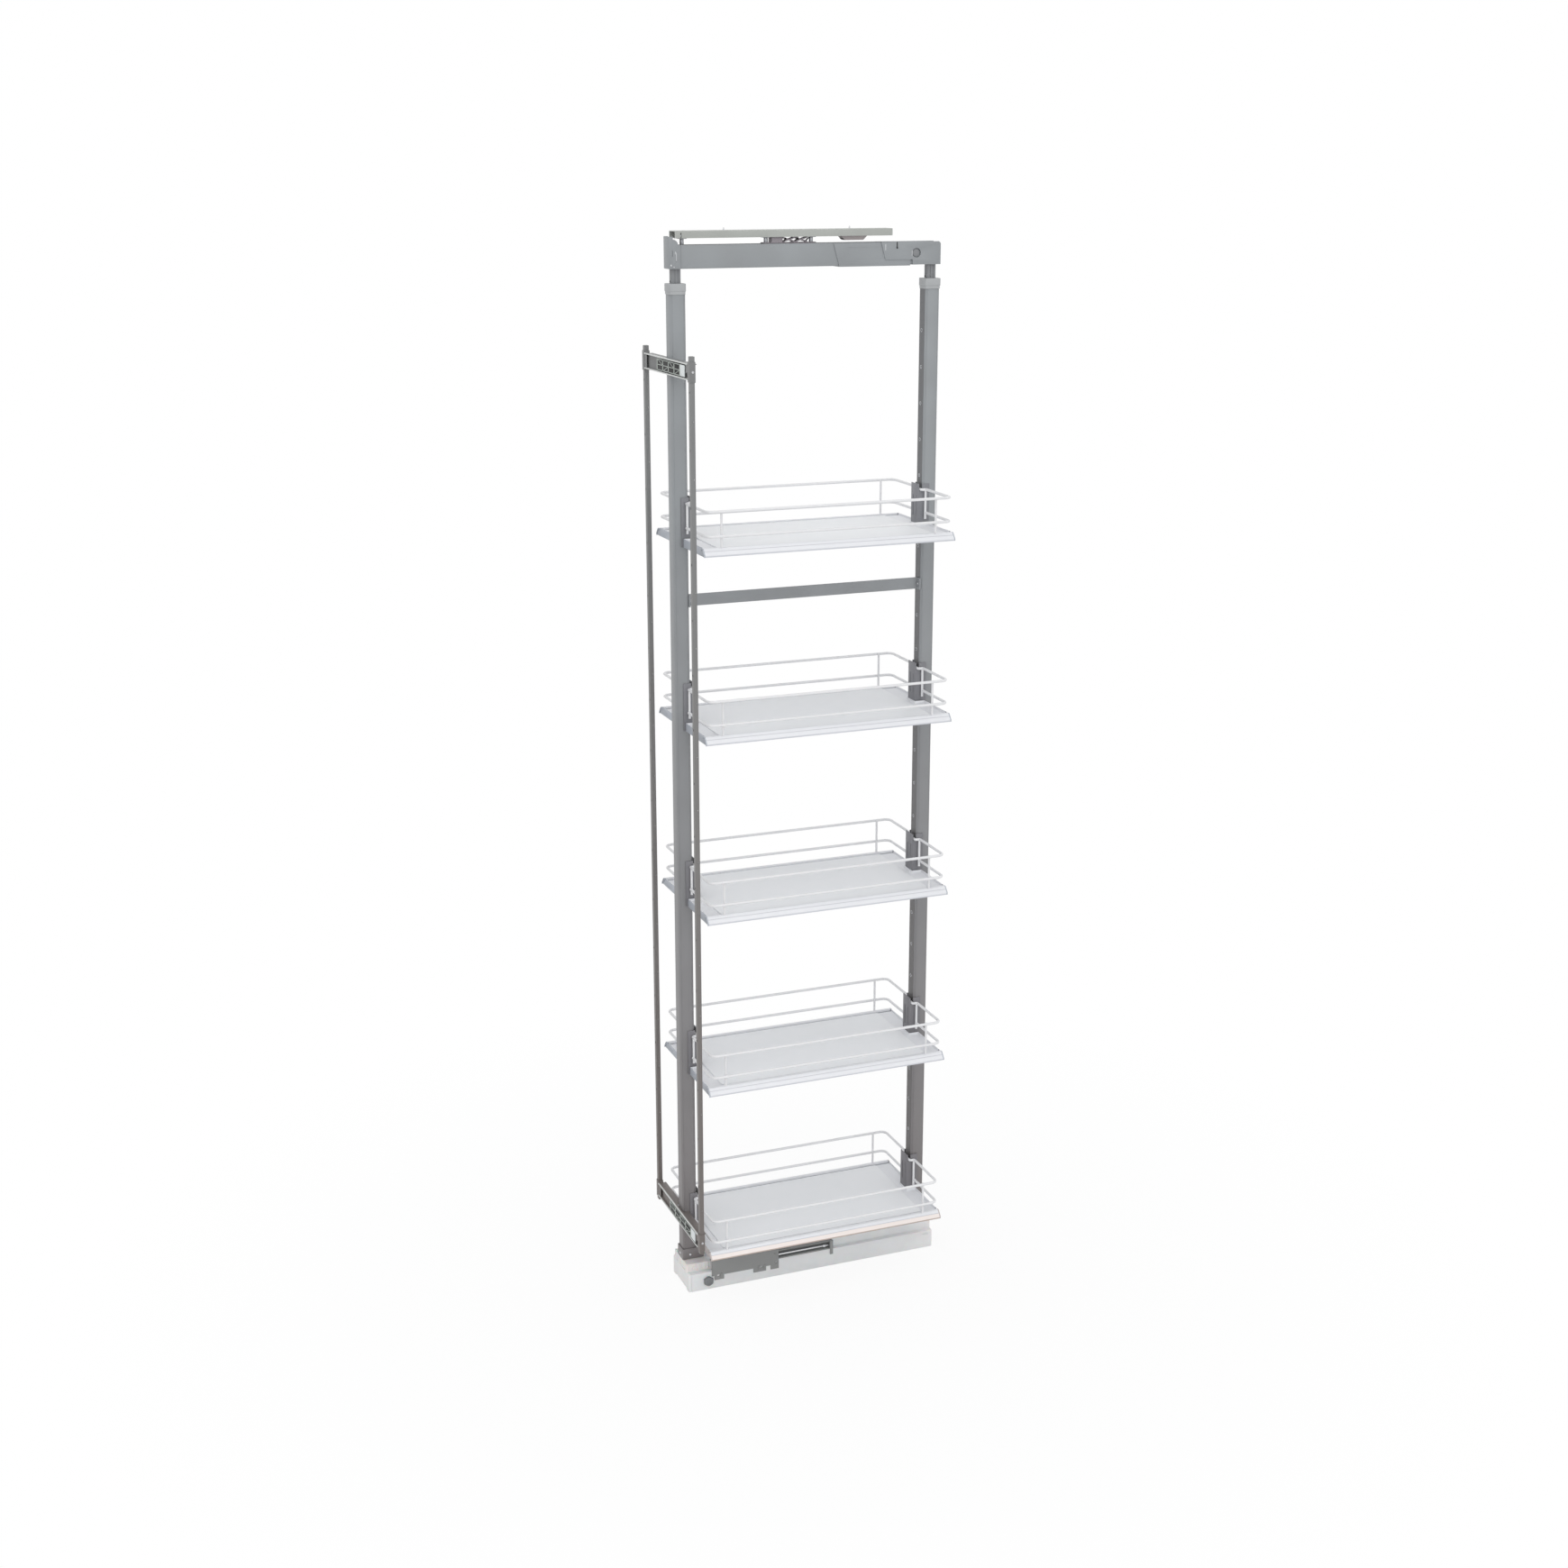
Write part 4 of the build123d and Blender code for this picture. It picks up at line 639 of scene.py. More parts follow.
# %% [markdown]
# Plastic caps close the posts and guide the inner bars. They are a little wider than the
# post and pillowy at the top. The frame's shape is kept, with a larger rounding, and a
# shallow lip is added below, where the cap grips the tube.
# %% Post caps
lip_overhang = 0.9
lip_height = 5
lip_clearance = 0.1
caps = from_frame("post_caps", "post_cap_pair", 0.8, 3)
lip_parts = []
for node in ("front_post", "rear_post"):
    low, high = low_high(node)
    lip = block((low.x - lip_overhang, low.y - lip_overhang, high.z - lip_height),
                (high.x + lip_overhang, high.y + lip_overhang, high.z))
    bevel_edges(lip, corner_bevel, 2)
    carve(lip, block((low.x + lip_clearance, low.y + lip_clearance, high.z - 9),
                     (high.x - lip_clearance, high.y - lip_clearance, high.z + 4)))
    lip_parts.append(soften(lip, 0.4))
join(caps, *lip_parts)
finish(caps, cap_grey, "frame", "cap_plastic", "post_caps")

# %% [markdown]
# The inner bars slide in the posts and carry the beam. They are drawn tubes with a groove
# down each visible side, and one grub screw near the cap holds the height.
# %% Inner bars
bar_low, bar_high = low_high("inner_bars")
post_middle = (low_high("rear_post")[0].y + low_high("rear_post")[1].y) / 2
bar_half_depth = bar_high.y - post_middle
bar_wall = 1.5
groove_half = 0.8
groove_depth = 0.7
bar_tubes = []
for end in (-1, 1):
    middle = Vector((0, end * post_middle, 0))
    reach = Vector((bar_high.x, bar_half_depth, 0))
    tube = block(middle - reach + Z * bar_low.z, middle + reach + Z * bar_high.z)
    bevel_edges(tube, 1.5, 3)
    inside = reach - Vector((bar_wall, bar_wall, 0))
    carve(tube, block(middle - inside + Z * (bar_low.z - 1),
                      middle + inside + Z * (bar_high.z + 1)))
    lines = [(side * bar_high.x, middle.y + share * bar_half_depth, groove_depth, groove_half)
             for side in (-1, 1) for share in (-0.35, 0.35)]
    lines += [(0, middle.y + side * bar_half_depth, groove_half, groove_depth) for side in (-1, 1)]
    for x, y, half_x, half_y in lines:
        carve(tube, block((x - half_x, y - half_y, bar_low.z - 1),
                          (x + half_x, y + half_y, bar_high.z + 1)))
    smooth(tube, 35)
    bar_tubes.append(tube)
bars = join(*bar_tubes)
finish(bars, bar_grey, "upper_frame", "bar_grey", "inner_bars", name="inner_bar_pair")

grub_x = -3.4
grub_z = low_high("post_caps")[1].z + 3.2
grub_radius = 1.7
grub_screws = []
for end in (-1, 1):
    front_y = end * post_middle - bar_half_depth
    grub = rod((grub_x, front_y + 1, grub_z), (grub_x, front_y - 0.4, grub_z), grub_radius, 20)
    grub_screws.append(soften(grub, 0.25))
finish(join(*grub_screws), black_plastic_and_shade, "upper_frame", "adjuster_black", name="bar_grub_screws")

# %% [markdown]
# The beam is a channel that is open upwards, and the sleeve is folded round it. Both keep
# the frame's own shape, and the sleeve gets a shallow pressed field on each side.
# %% Beam and sleeve
dress("top_beam", "beam_channel", 0.4, 2, frame_grey, "upper_frame", "frame_grey")
sleeve_low, sleeve_high = low_high("beam_sleeve")
field_depth = 0.35
field_start_y = sleeve_low.y + 27
field_end_y = sleeve_low.y + 92
fields = [
    block((side * sleeve_high.x - field_depth, field_start_y, sleeve_low.z + 13),
          (side * sleeve_high.x + field_depth, field_end_y, sleeve_high.z - 7))
    for side in (-1, 1)
]
dress("beam_sleeve", "beam_wrap", 0.35, 2, frame_grey, "upper_frame", "frame_grey", *fields)

# %% [markdown]
# A bracket is folded round each end of the beam. The front one has two slots on each side.
# The slot edges carry thin pale strips, painted highlights where light catches them, on
# this bracket and on the one at the back.
# %% Front end bracket and slot highlights
front_low, front_high = low_high("front_beam_bracket")
slot_depth = 1.2
slot_spans = ((12.5, 13.7, 12, 27), (6, 7, 20, 30))
slots = [
    block((side * front_high.x - slot_depth, front_low.y + start_y, front_low.z + start_z),
          (side * front_high.x + slot_depth, front_low.y + end_y, front_low.z + end_z))
    for side in (-1, 1) for start_y, end_y, start_z, end_z in slot_spans
]
dress("front_beam_bracket", "beam_front_end", 0.4, 2,
      frame_grey, "upper_frame", "frame_grey", *slots)
# Painted highlights: thin pale strips along the slot edges of the front and rear bracket.
front_highlight_spans = ((13.2, 1903.0, 1917.0), (11.4, 1914.0, 1918.5))
rear_highlight_spans = ((144.0, 1915.0, 1925.5), (194.6, 1905.5, 1914.5))
rear_face_x = (14.7, 15.25)
lip_stand = 0.4
front_lip_half = 0.55
rear_lip_half = 0.6
slot_highlights = []
for side in (-1, 1):
    for inset, low_z, high_z in front_highlight_spans:
        lip_y = front_low.y + inset
        lip = block((side * front_high.x - lip_stand, lip_y - front_lip_half, low_z),
                    (side * front_high.x + lip_stand, lip_y + front_lip_half, high_z))
        slot_highlights.append(soften(lip, 0.2))
    for y, low_z, high_z in rear_highlight_spans:
        slot_highlights.append(block((side * rear_face_x[0], y - rear_lip_half, low_z),
                               (side * rear_face_x[1], y + rear_lip_half, high_z)))
lips = join(*slot_highlights)
finish(lips, pale_zinc_and_highlight, "upper_frame", "bright_steel", name="bracket_slot_highlights")

# %% [markdown]
# The rear bracket has a round hole in each side. In the engineered model the hole is a
# polygon, so a round rod is carved through it, and only then are the edges softened.
# %% Rear end bracket
rear_end = from_frame("rear_beam_bracket", "beam_rear_end", 0)
rear_low, rear_high = low_high("rear_beam_bracket")
hole_y = 203.0
hole_z = 1910.0
eye_radius = 8.2
carve(rear_end, rod((rear_low.x - 2, hole_y, hole_z), (rear_high.x + 2, hole_y, hole_z),
                    eye_radius, 48))
soften(rear_end, 0.35)
finish(rear_end, frame_grey, "upper_frame", "frame_grey", "rear_beam_bracket")

# %% [markdown]
# Behind each round hole of the rear bracket sits the head of the screw that clamps the bar.
# It is a disc with a rounded edge, slightly darker than the coat around it. Small screws
# with a cross recess are discs too, with two thin blocks carved out of their heads.
# %% Clamp screws and small fasteners of the beam
def screw_head(place, way, radius, height, recess=0.45):
    """A low round head with a cross recess, standing on place and facing way."""
    place = Vector(place)
    head = rod(place, place + way * height, radius, 32)
    soften(head, min(height, radius) * 0.35, 3)
    spread = way.orthogonal().normalized()
    top = place + way * height
    for direction in (spread, way.cross(spread)):
        across = way.cross(direction)
        reach = direction * radius * 0.62
        thick = across * radius * 0.13
        corners = (top - reach - thick - way * height * recess, top + reach + thick + way * height)
        low = Vector(map(min, *corners))
        high = Vector(map(max, *corners))
        carve(head, block(low, high))
    return head


clamp_inner_x = 12
clamp_outer_x = 13.2
clamp_radius = 6.6
clamp_heads = []
for side in (-1, 1):
    disc = rod((side * clamp_inner_x, hole_y, hole_z), (side * clamp_outer_x, hole_y, hole_z),
               clamp_radius, 40)
    clamp_heads.append(soften(disc, 0.5, 3))
finish(join(*clamp_heads), bar_grey, "upper_frame", "bar_grey", name="clamp_screw_heads")

# Painted shade: black bits in each rear slot, a dark dot and a dark bar where the slot lies in
# shadow.
bit_x = 14.4
bit_y = 166.0
bit_z = 1919.0
slot_shade_bits = []
for side in (-1, 1):
    slot_shade_bits.append(rod((side * bit_x, bit_y, bit_z), (side * 15.3, bit_y, bit_z), 1.6, 20))
    slot_shade_bits.append(block((side * bit_x, bit_y - 0.8, 1920.0),
                           (side * 15.1, bit_y + 0.8, 1928.6)))
finish(join(*slot_shade_bits), black_plastic_and_shade, "upper_frame", "adjuster_black", name="rear_slot_shade_bits")

corner_spots = ((4, 6, 1.6), (9, 3.2, 1.2))
corner_screws = []
for side in (-1, 1):
    for inset, rise, radius in corner_spots:
        place = (side * front_high.x - side * 0.3, front_low.y + inset, front_low.z + rise)
        corner_screws.append(screw_head(place, X * side, radius, 0.9))
corner = join(*corner_screws)
finish(corner, bright_steel, "upper_frame", "bright_steel", name="beam_corner_screws")

# %% [markdown]
# The cross brace is a flat bar on edge. Rivets and screws are turned forms: a low dome from
# a sphere that is cut in half and flattened. Each is made at its place on the feet.
# %% Brace, feet, rivets
dress("cross_brace", "brace_bar", 0.4, 2, frame_grey, "frame", "frame_grey")
for node in ("front_foot", "rear_foot"):
    dress(node, f"{node}_bracket", 0.45, 2, frame_grey, "frame", "frame_grey")


def dome(place, way, radius, height):
    """A low round rivet head: half a sphere, flattened, on place and facing way."""
    deselect()
    bpy.ops.mesh.primitive_uv_sphere_add(segments=24, ring_count=12, radius=radius * MM)
    made = bpy.context.object
    edit(made, (bpy.ops.mesh.bisect, {
        "plane_co": (0, 0, 0), "plane_no": (0, 0, 1), "clear_inner": True, "use_fill": True,
    }))
    made.scale = (1, 1, height / radius)
    made.rotation_euler = way.to_track_quat("Z", "Y").to_euler()
    made.location = Vector(place) * MM
    settle()
    smooth(made, 50)
    return made


foot_high = low_high("rear_foot")[1]
rivet_z = 63.0
rivet_radius = 2.5
rivet_height = 1.0
brace_low, brace_high = low_high("cross_brace")
rivets = []
for end in (-1, 1):
    rivets.append(dome((0, end * foot_high.y, rivet_z), Y * end, rivet_radius, rivet_height))
    for side in (-1, 1):
        place = (side * foot_high.x, end * post_middle, rivet_z)
        rivets.append(dome(place, X * side, rivet_radius, rivet_height))
    head_place = (brace_high.x - 6, end * (brace_high.y - 3), (brace_low.z + brace_high.z) / 2)
    rivets.append(screw_head(head_place, Y * -end, 3.0, 1.8))
finish(
    join(*rivets), bright_steel, "frame", "bright_steel", "frame_rivets",
    name="rivets_and_brace_screws",
)
print("rivets and screws", len(rivets))

# %% [markdown]
# The ceiling rail is a rolled steel channel that is screwed to the cabinet's ceiling, open
# at its front end. The engineered model has its shape, which is kept and softened, and a
# narrow notch is carved out near the front.
# %% Ceiling rail
rail_low, rail_high = low_high("top_rail")
notch = block((rail_low.x - 1, rail_low.y + 10, rail_low.z - 1),
              (rail_high.x + 1, rail_low.y + 12, rail_high.z - 3))
dress("top_rail", "ceiling_channel", 0.5, 3, rail_beige, "ceiling_rail", "rail_beige", notch)

# %% [markdown]
# Two wood screws stand up through the top of the rail, with their threads showing. A thread
# is a helix, and a Screw modifier makes it from one small tooth. The shank, the tip and the
# head are turned parts, so they are rods and a cone.
# %% Ceiling screws
screw_low, screw_high = low_high("rail_screws")
thread_pitch = 1.1
thread_tooth = 0.45
shank_radius = 1.15
tip_length = 1.2
head_height = 1.5
head_radius = 4.0
thread_start_z = rail_high.z - 3
turns = int((screw_high.z - 1.4 - thread_start_z) / thread_pitch)


def screw_thread(y):
    """The helix round one screw's shank."""
    deselect()
    bpy.ops.mesh.primitive_circle_add(
        vertices=3, radius=thread_tooth * MM, fill_type="NGON",
        location=(shank_radius * MM, 0, 0), rotation=(math.radians(90), 0, 0),
    )
    thread = settle()
    modify(thread, "SCREW", angle=math.tau * turns, screw_offset=thread_pitch * turns * MM,
           steps=16 * turns, render_steps=16 * turns, use_merge_vertices=True)
    thread.data.transform(Matrix.Translation(Vector((0, y, thread_start_z)) * MM))
    edit(thread, (bpy.ops.mesh.normals_make_consistent, {"inside": False}))
    return thread


rail_screw_ys = (-149.0, 82.0)
rail_screw_parts = []
for y in rail_screw_ys:
    shank = rod((0, y, screw_low.z + 1), (0, y, screw_high.z - tip_length), shank_radius, 20)
    deselect()
    bpy.ops.mesh.primitive_cone_add(
        vertices=20, radius1=shank_radius * MM, radius2=0.1 * MM, depth=tip_length * MM,
        location=(0, y * MM, (screw_high.z - tip_length / 2) * MM),
    )
    tip = settle()
    thread = screw_thread(y)
    head = rod((0, y, screw_low.z), (0, y, screw_low.z + head_height), head_radius, 28)
    rail_screw_parts += [soften(shank, 0.1), tip, thread, soften(head, 0.5, 3)]
finish(
    join(*rail_screw_parts), bright_steel, "ceiling_rail", "bright_steel", "rail_screws",
    name="ceiling_screws",
)

# %% [markdown]
# Below the rail hangs a small plastic catch. Its shape comes from the engineered model, and
# a dark spring pin is laid across it.
# %% Catch
dress("rail_catch", "ceiling_catch", 0.6, 3, catch_pink, "ceiling_rail", "guide_plastic")
catch_low = low_high("rail_catch")[0]
spring_y = catch_low.y + 5
spring_z = catch_low.z + 3.2
spring_pin = rod((-7, spring_y, spring_z), (7.6, spring_y, spring_z), 1.5, 20)
soften(spring_pin, 0.5)
finish(spring_pin, black_plastic_and_shade, "ceiling_rail", "adjuster_black", name="catch_spring")

# %% [markdown]
# The slide bar runs inside the rail and hangs on stems that reach down to the beam. The
# stems, and the pins that the rollers turn on, are turned parts, so each is a stack of rods
# with softened edges.
# %% Slide bar
slide_low, slide_high = low_high("slide_bar")
roller_low, roller_high = low_high("front_guide_roller")
clearance = 0.3
stem_foot_z = low_high("top_beam")[1].z + clearance
foot_half = 7
foot_height = 3
stem_radius = 3.5
pin_radius = 2.5
pin_head_radius = 5.0
pin_head_height = 1.5
pin_end_z = roller_low.z - clearance
foot_top_z = slide_high.z - 4
slide_parts = [soften(block((slide_low.x, slide_low.y, foot_top_z), slide_high), 0.5)]
stem_ys = (-224.0, -73.0, 10.0)
for y in stem_ys:
    foot = block((-foot_half, y - foot_half, foot_top_z - foot_height),
                 (foot_half, y + foot_half, foot_top_z))
    stem = rod((0, y, stem_foot_z), (0, y, foot_top_z - foot_height), stem_radius, 28)
    slide_parts += [soften(foot, 0.8, 3), soften(stem, 0.5, 3)]
for y in (stem_ys[0], stem_ys[2]):
    pin = rod((0, y, pin_end_z), (0, y, stem_foot_z), pin_radius, 24)
    shoulder = rod((0, y, roller_high.z + clearance), (0, y, stem_foot_z), stem_radius, 28)
    pin_head = rod((0, y, pin_end_z - pin_head_height), (0, y, pin_end_z), pin_head_radius, 28)
    slide_parts += [pin, soften(shoulder, 0.3), soften(pin_head, 0.5, 3)]
slide = join(*slide_parts)
finish(slide, slide_steel, "top_slide", "slide_steel", "slide_bar", name="slide_bar_with_stems")

# %% [markdown]
# The guide block keeps the slide centred. Its struts are springy crosses. The shape comes
# from the frame, softened, with three dark rubber bits where the crosses meet the rail.
# %% Guide block
dress("guide_block", "guide_strip", 0.3, 2, pad_mauve, "top_slide", "guide_plastic")
guide_high = low_high("guide_block")[1]
guide_bit_x = 7.4
bit_radius = 1.2
bit_spots = ((-40.5, 1.6), (-19.0, 3.4), (0.5, 2.6))
bits = []
for y, reach in bit_spots:
    bit = rod((guide_bit_x, y - reach, guide_high.z - 6.2),
              (guide_bit_x, y + reach, guide_high.z - 1.4), bit_radius, 16)
    bits.append(soften(bit, 0.4))
finish(join(*bits), stop_rubber, "top_slide", "rubber_stop", name="guide_rubber_bits")

# %% [markdown]
# Two rollers run in the beam. Each is turned from nylon: a wheel with a groove round its
# hub, bored for the pin. The bore is carved from wheel and hub one by one, because they
# overlap, and a carve needs a single closed shell.
# %% Guide rollers
roller_radius = 10.2
groove_radius = 7.5
roller_groove_depth = 1.5
hub_radius = 4.4
bore_radius = 2.58
for node, body in (("front_guide_roller", "roller_front"), ("back_guide_roller", "roller_back")):
    low, high = low_high(node)
    y = ((low + high) / 2).y
    wheel = rod((0, y, low.z), (0, y, high.z), roller_radius, 64)
    groove = rod((0, y, high.z - roller_groove_depth), (0, y, high.z + 1), groove_radius, 48)
    hub = rod((0, y, high.z - 3), (0, y, high.z), hub_radius, 32)
    carve(wheel, groove)
    for turned in (wheel, hub):
        carve(turned, rod((0, y, low.z - 2), (0, y, high.z + 2), bore_radius, 24))
    soften(wheel, 0.6, 3, 60)
    join(wheel, soften(hub, 0.3, 2, 60))
    finish(wheel, nylon, body, "nylon_wheel", node, name=f"{node}_wheel")

# %% [markdown]
# The floor runner is hidden until the frame is pulled out. The rails are rolled channels,
# kept as the frame has them with softened edges. Each wheel set is an axle with two turned
# wheels, with a rounded tread and a recessed face.
# %% Floor runner
for node, body in (
    ("floor_rail", "floor_runner"), ("middle_rail", "middle_runner"), ("carriage_rail", "frame"),
):
    dress(node, f"{node}_channel", 0.3, 2, runner_steel, body, "runner_steel")
dress("rail_end_stop", "end_stop_pad", 0.6, 3, stop_rubber, "floor_runner", "rubber_stop")

wheel_bodies = {
    "floor_wheels_middle": "wheels_a", "floor_wheels_back": "wheels_b",
    "carriage_wheels_front": "wheels_c", "carriage_wheels_middle": "wheels_d",
}
wheel_inner_x = 11.0
wheel_outer_x = 19.0
wheel_radius = 6.5
wheel_axle_radius = 2.0
wheel_face_radius = 4.6
wheel_face_depth = 0.8
for node, body in wheel_bodies.items():
    low, high = low_high(node)
    middle = (low + high) / 2
    axle = rod((low.x, middle.y, middle.z), (high.x, middle.y, middle.z), wheel_axle_radius, 24)
    parts = [soften(axle, 0.3)]
    for side in (-1, 1):
        inner = side * wheel_inner_x
        outer = side * wheel_outer_x
        tyre = rod((inner, middle.y, middle.z), (outer, middle.y, middle.z), wheel_radius, 48)
        carve(tyre, rod((outer - side * wheel_face_depth, middle.y, middle.z),
                        (outer + side, middle.y, middle.z), wheel_face_radius, 32))
        parts.append(soften(tyre, 0.7, 3))
    wheels = join(*parts)
    finish(wheels, nylon, body, "nylon_wheel", node, name=f"{node}_set")

# %% [markdown]
# The white housing, its cap and its blocks are injection moulded, so their edges are softer
# than a folded sheet's. A small clip slot opens near the back of the wide step.
# %% Housing
housing_high = low_high("base_housing")[1]
clip_front_y = housing_high.y - 22
clip_back_y = housing_high.y - 9
clip_low_z = 27.5
clip_cut = block((housing_high.x - 1.4, clip_front_y, clip_low_z),
                 (housing_high.x + 1, clip_back_y, clip_low_z + 4))
dress("base_housing", "housing_cover", 0.9, 3, housing_white, "frame", "housing_white", clip_cut)
clip = block((housing_high.x - 1.2, clip_front_y + 0.6, clip_low_z + 0.1),
             (housing_high.x + 0.5, clip_back_y - 2, clip_low_z + 2.3))
soften(clip, 0.3)
finish(clip, housing_white, "frame", "housing_white", name="housing_clip")

dress("front_cap", "housing_front_cap", 1.2, 3, housing_white, "frame", "housing_white")
block_low, block_high = low_high("front_block")
side_flutes = 9
side_flute_pitch = 3.4
side_flute_start = block_low.y + 5
front_flutes = 17
front_flute_pitch = 3.5
front_flute_start = -28
flute_spots = [(side * block_high.x, side_flute_start + i * side_flute_pitch, 0.7)
               for i in range(side_flutes) for side in (1, -1)]
flute_spots += [(front_flute_start + i * front_flute_pitch, block_low.y, 0.6)
                for i in range(front_flutes)]
flutes = [
    rod((x, y, block_low.z + 4), (x, y, block_high.z + 1), radius, 10)
    for x, y, radius in flute_spots
]
dress("front_block", "front_foot_block", 0.8, 3, block_clear, "frame", "housing_white", *flutes)
dress("rear_block", "rear_foot_block", 0.8, 3, housing_white, "frame", "housing_white")

# %% [markdown]
# The adjusting bolt has a hexagon head. A six sided cylinder is cut back at its corners by
# a wide cone, as a lathe does, which leaves the round chamfer that real bolt heads show.
# %% Adjusting bolt
bolt_low, bolt_high = low_high("adjusting_bolt")
bolt_y = -212.0
bolt_z = 19.0
head_start = housing_high.x + 0.3
across_flats = 17.0
cone_length = 8
cone_wide_radius = across_flats / 2 + 7
cone_narrow_radius = across_flats / 2 - 1
cone_middle_x = bolt_high.x - 3.6
dish_radius = 5.2
bolt_shank_radius = 4.0
hexagon = rod((head_start, bolt_y, bolt_z), (bolt_high.x, bolt_y, bolt_z),
              across_flats / math.sqrt(3), 6)
deselect()
bpy.ops.mesh.primitive_cone_add(
    vertices=64, radius1=cone_wide_radius * MM, radius2=cone_narrow_radius * MM,
    depth=cone_length * MM, location=(cone_middle_x * MM, bolt_y * MM, bolt_z * MM),
    rotation=(0, math.radians(90), 0),
)
lathe_cone = settle()
modify(hexagon, "BOOLEAN", operation="INTERSECT", object=lathe_cone, solver="EXACT")
bpy.data.objects.remove(lathe_cone)
soften(hexagon, 0.25)
carve(hexagon, rod((bolt_high.x - 0.5, bolt_y, bolt_z), (bolt_high.x + 1, bolt_y, bolt_z),
                   dish_radius, 40))
shank = rod((bolt_low.x, bolt_y, bolt_z), (head_start + 0.5, bolt_y, bolt_z),
            bolt_shank_radius, 28)
join(hexagon, soften(shank, 0.4))
finish(
    hexagon, bolt_steel, "adjusting_screw", "plate_steel", "adjusting_bolt",
    name="adjusting_bolt_steel",
)

# %% [markdown]
# Beside the housing sits a notched plate that goes on as the damper's channel. Its pressing
# is kept from the frame. Small bent hooks, holes and a bright rod are added.
# %% Side plate and damper
plate_high = low_high("side_plate")[1]
hole_spots = ((-192.0, 26.5, 2.6), (-105.0, 27.0, 2.4), (-74.5, 31.0, 1.6), (-76.0, 50.0, 2.0))
plate_holes = [
    rod((plate_high.x - 3, y, z), (plate_high.x + 1, y, z), radius, 20)
    for y, z, radius in hole_spots
]
dress("side_plate", "damper_plate", 0.35, 2, plate_steel, "frame", "plate_steel", *plate_holes)
hook_ys = (-186.0, -98.0, -110.0)
hook_half = 1.6
hook_low_z = 20.5
hook_high_z = 31.0
hooks = []
for y in hook_ys:
    hook = block((plate_high.x - 0.6, y - hook_half, hook_low_z),
                 (plate_high.x + 1.2, y + hook_half, hook_high_z))
    hooks.append(soften(hook, 0.4))
hooks.append(screw_head((plate_high.x - 0.2, -76.0, 50.0), X, 2.8, 1.2))
finish(join(*hooks), plate_steel, "frame", "plate_steel", name="plate_hooks")

rod_low, rod_high = low_high("damper_rod")
rod_middle = (rod_low + rod_high) / 2
rod_radius = 2.5
collar_radius = 3.6
damper = rod((rod_middle.x, rod_low.y, rod_middle.z),
             (rod_middle.x, rod_high.y, rod_middle.z), rod_radius, 28)
soften(damper, 0.3)
collar = rod((rod_middle.x, rod_high.y - 14, rod_middle.z),
             (rod_middle.x, rod_high.y - 8, rod_middle.z), collar_radius, 28)
join(damper, soften(collar, 0.6, 3))
finish(damper, bright_steel, "frame", "bright_steel", "damper_rod", name="damper_piston_rod")

# %% [markdown]
# The door bars are narrow channels, closed at both ends, with screw holes at the front and
# small pin holes at one side. Each bar is a block, hollowed from behind but for its ends,
# softened, and pierced.
# %% Door bars
bar_sheet = 1.5
door_hole_pitch = 96.0
door_hole_count = 17
door_hole_first_z = 160.0
door_hole_radius = 2.1
pin_hole_radius = 1.0
for node in ("left_door_bar", "right_door_bar"):
    low, high = low_high(node)
    middle_x = (low.x + high.x) / 2
    bar = block(low, high)
    carve(bar, block((low.x + bar_sheet, low.y + bar_sheet, low.z + 2),
                     (high.x - bar_sheet, high.y + 1, high.z - 2)))
    soften(bar, 0.6, 3)
    holes = []
    for i in range(door_hole_count):
        z = door_hole_first_z + i * door_hole_pitch
        holes.append(rod((middle_x, low.y - 1, z), (middle_x, low.y + 3, z), door_hole_radius, 20))
        pin_z = z + door_hole_pitch / 2
        holes.append(rod((middle_x, high.y - 3, pin_z), (high.x + 1, high.y - 3, pin_z),
                         pin_hole_radius, 12))
    carve(bar, *holes)
    finish(bar, door_grey, "door_mount", "door_grey", node, name=f"{node}_channel")

# %% [markdown]
# Two cross brackets join the bars and hold them to the front post. They are lipped
# channels with a clip folded round each bar. Thin bright strips are laid on the upper and
# lower lip. Screw heads sit on the clips.
# %% Cross brackets
clip_x = 126.2
door_bar_y = -251.0
lip_rise = 12.5
lip_reach = 113.5
lip_front_y = -256.9
lip_half_height = 1.2
end_middle_x = 109.5
end_half_width = 7
end_half_height = 11
web_front_y = -255.3
end_plate_front = web_front_y - 0.3
bright_edge = white_coat("bracket_bright_edge", srgb(214, 216, 213), srgb(196, 198, 196),
                         0.3, 90, 0.0001)
for node in ("upper_cross_bracket", "lower_cross_bracket"):
    low, high = low_high(node)
    dress(node, f"{node}_pressing", 0.3, 2, door_grey, "door_mount", "door_grey")
    middle_z = (low.z + high.z) / 2
    edges = []
    for z in (middle_z - lip_rise, middle_z + lip_rise):
        strip = block((-lip_reach, lip_front_y, z - lip_half_height),
                      (lip_reach, lip_front_y + 2.3, z + lip_half_height))
        edges.append(soften(strip, 0.5))
    strips = join(*edges)
    ends = join(*(
        soften(block((x - end_half_width, end_plate_front, middle_z - end_half_height),
                     (x + end_half_width, web_front_y + 1, middle_z + end_half_height)), 0.2)
        for x in (-end_middle_x, end_middle_x)
    ))
    finish(ends, door_grey, "door_mount", "door_grey", name=f"{node}_ends")
    finish(strips, bright_edge, "door_mount", "door_grey", name=f"{node}_lips")
    heads = []
    for side in (-1, 1):
        place = (side * clip_x, door_bar_y, middle_z)
        heads.append(screw_head(place, X * side, 2.2, 0.9))
    finish(join(*heads), bright_steel, "door_mount", "bright_steel", name=f"{node}_screws")
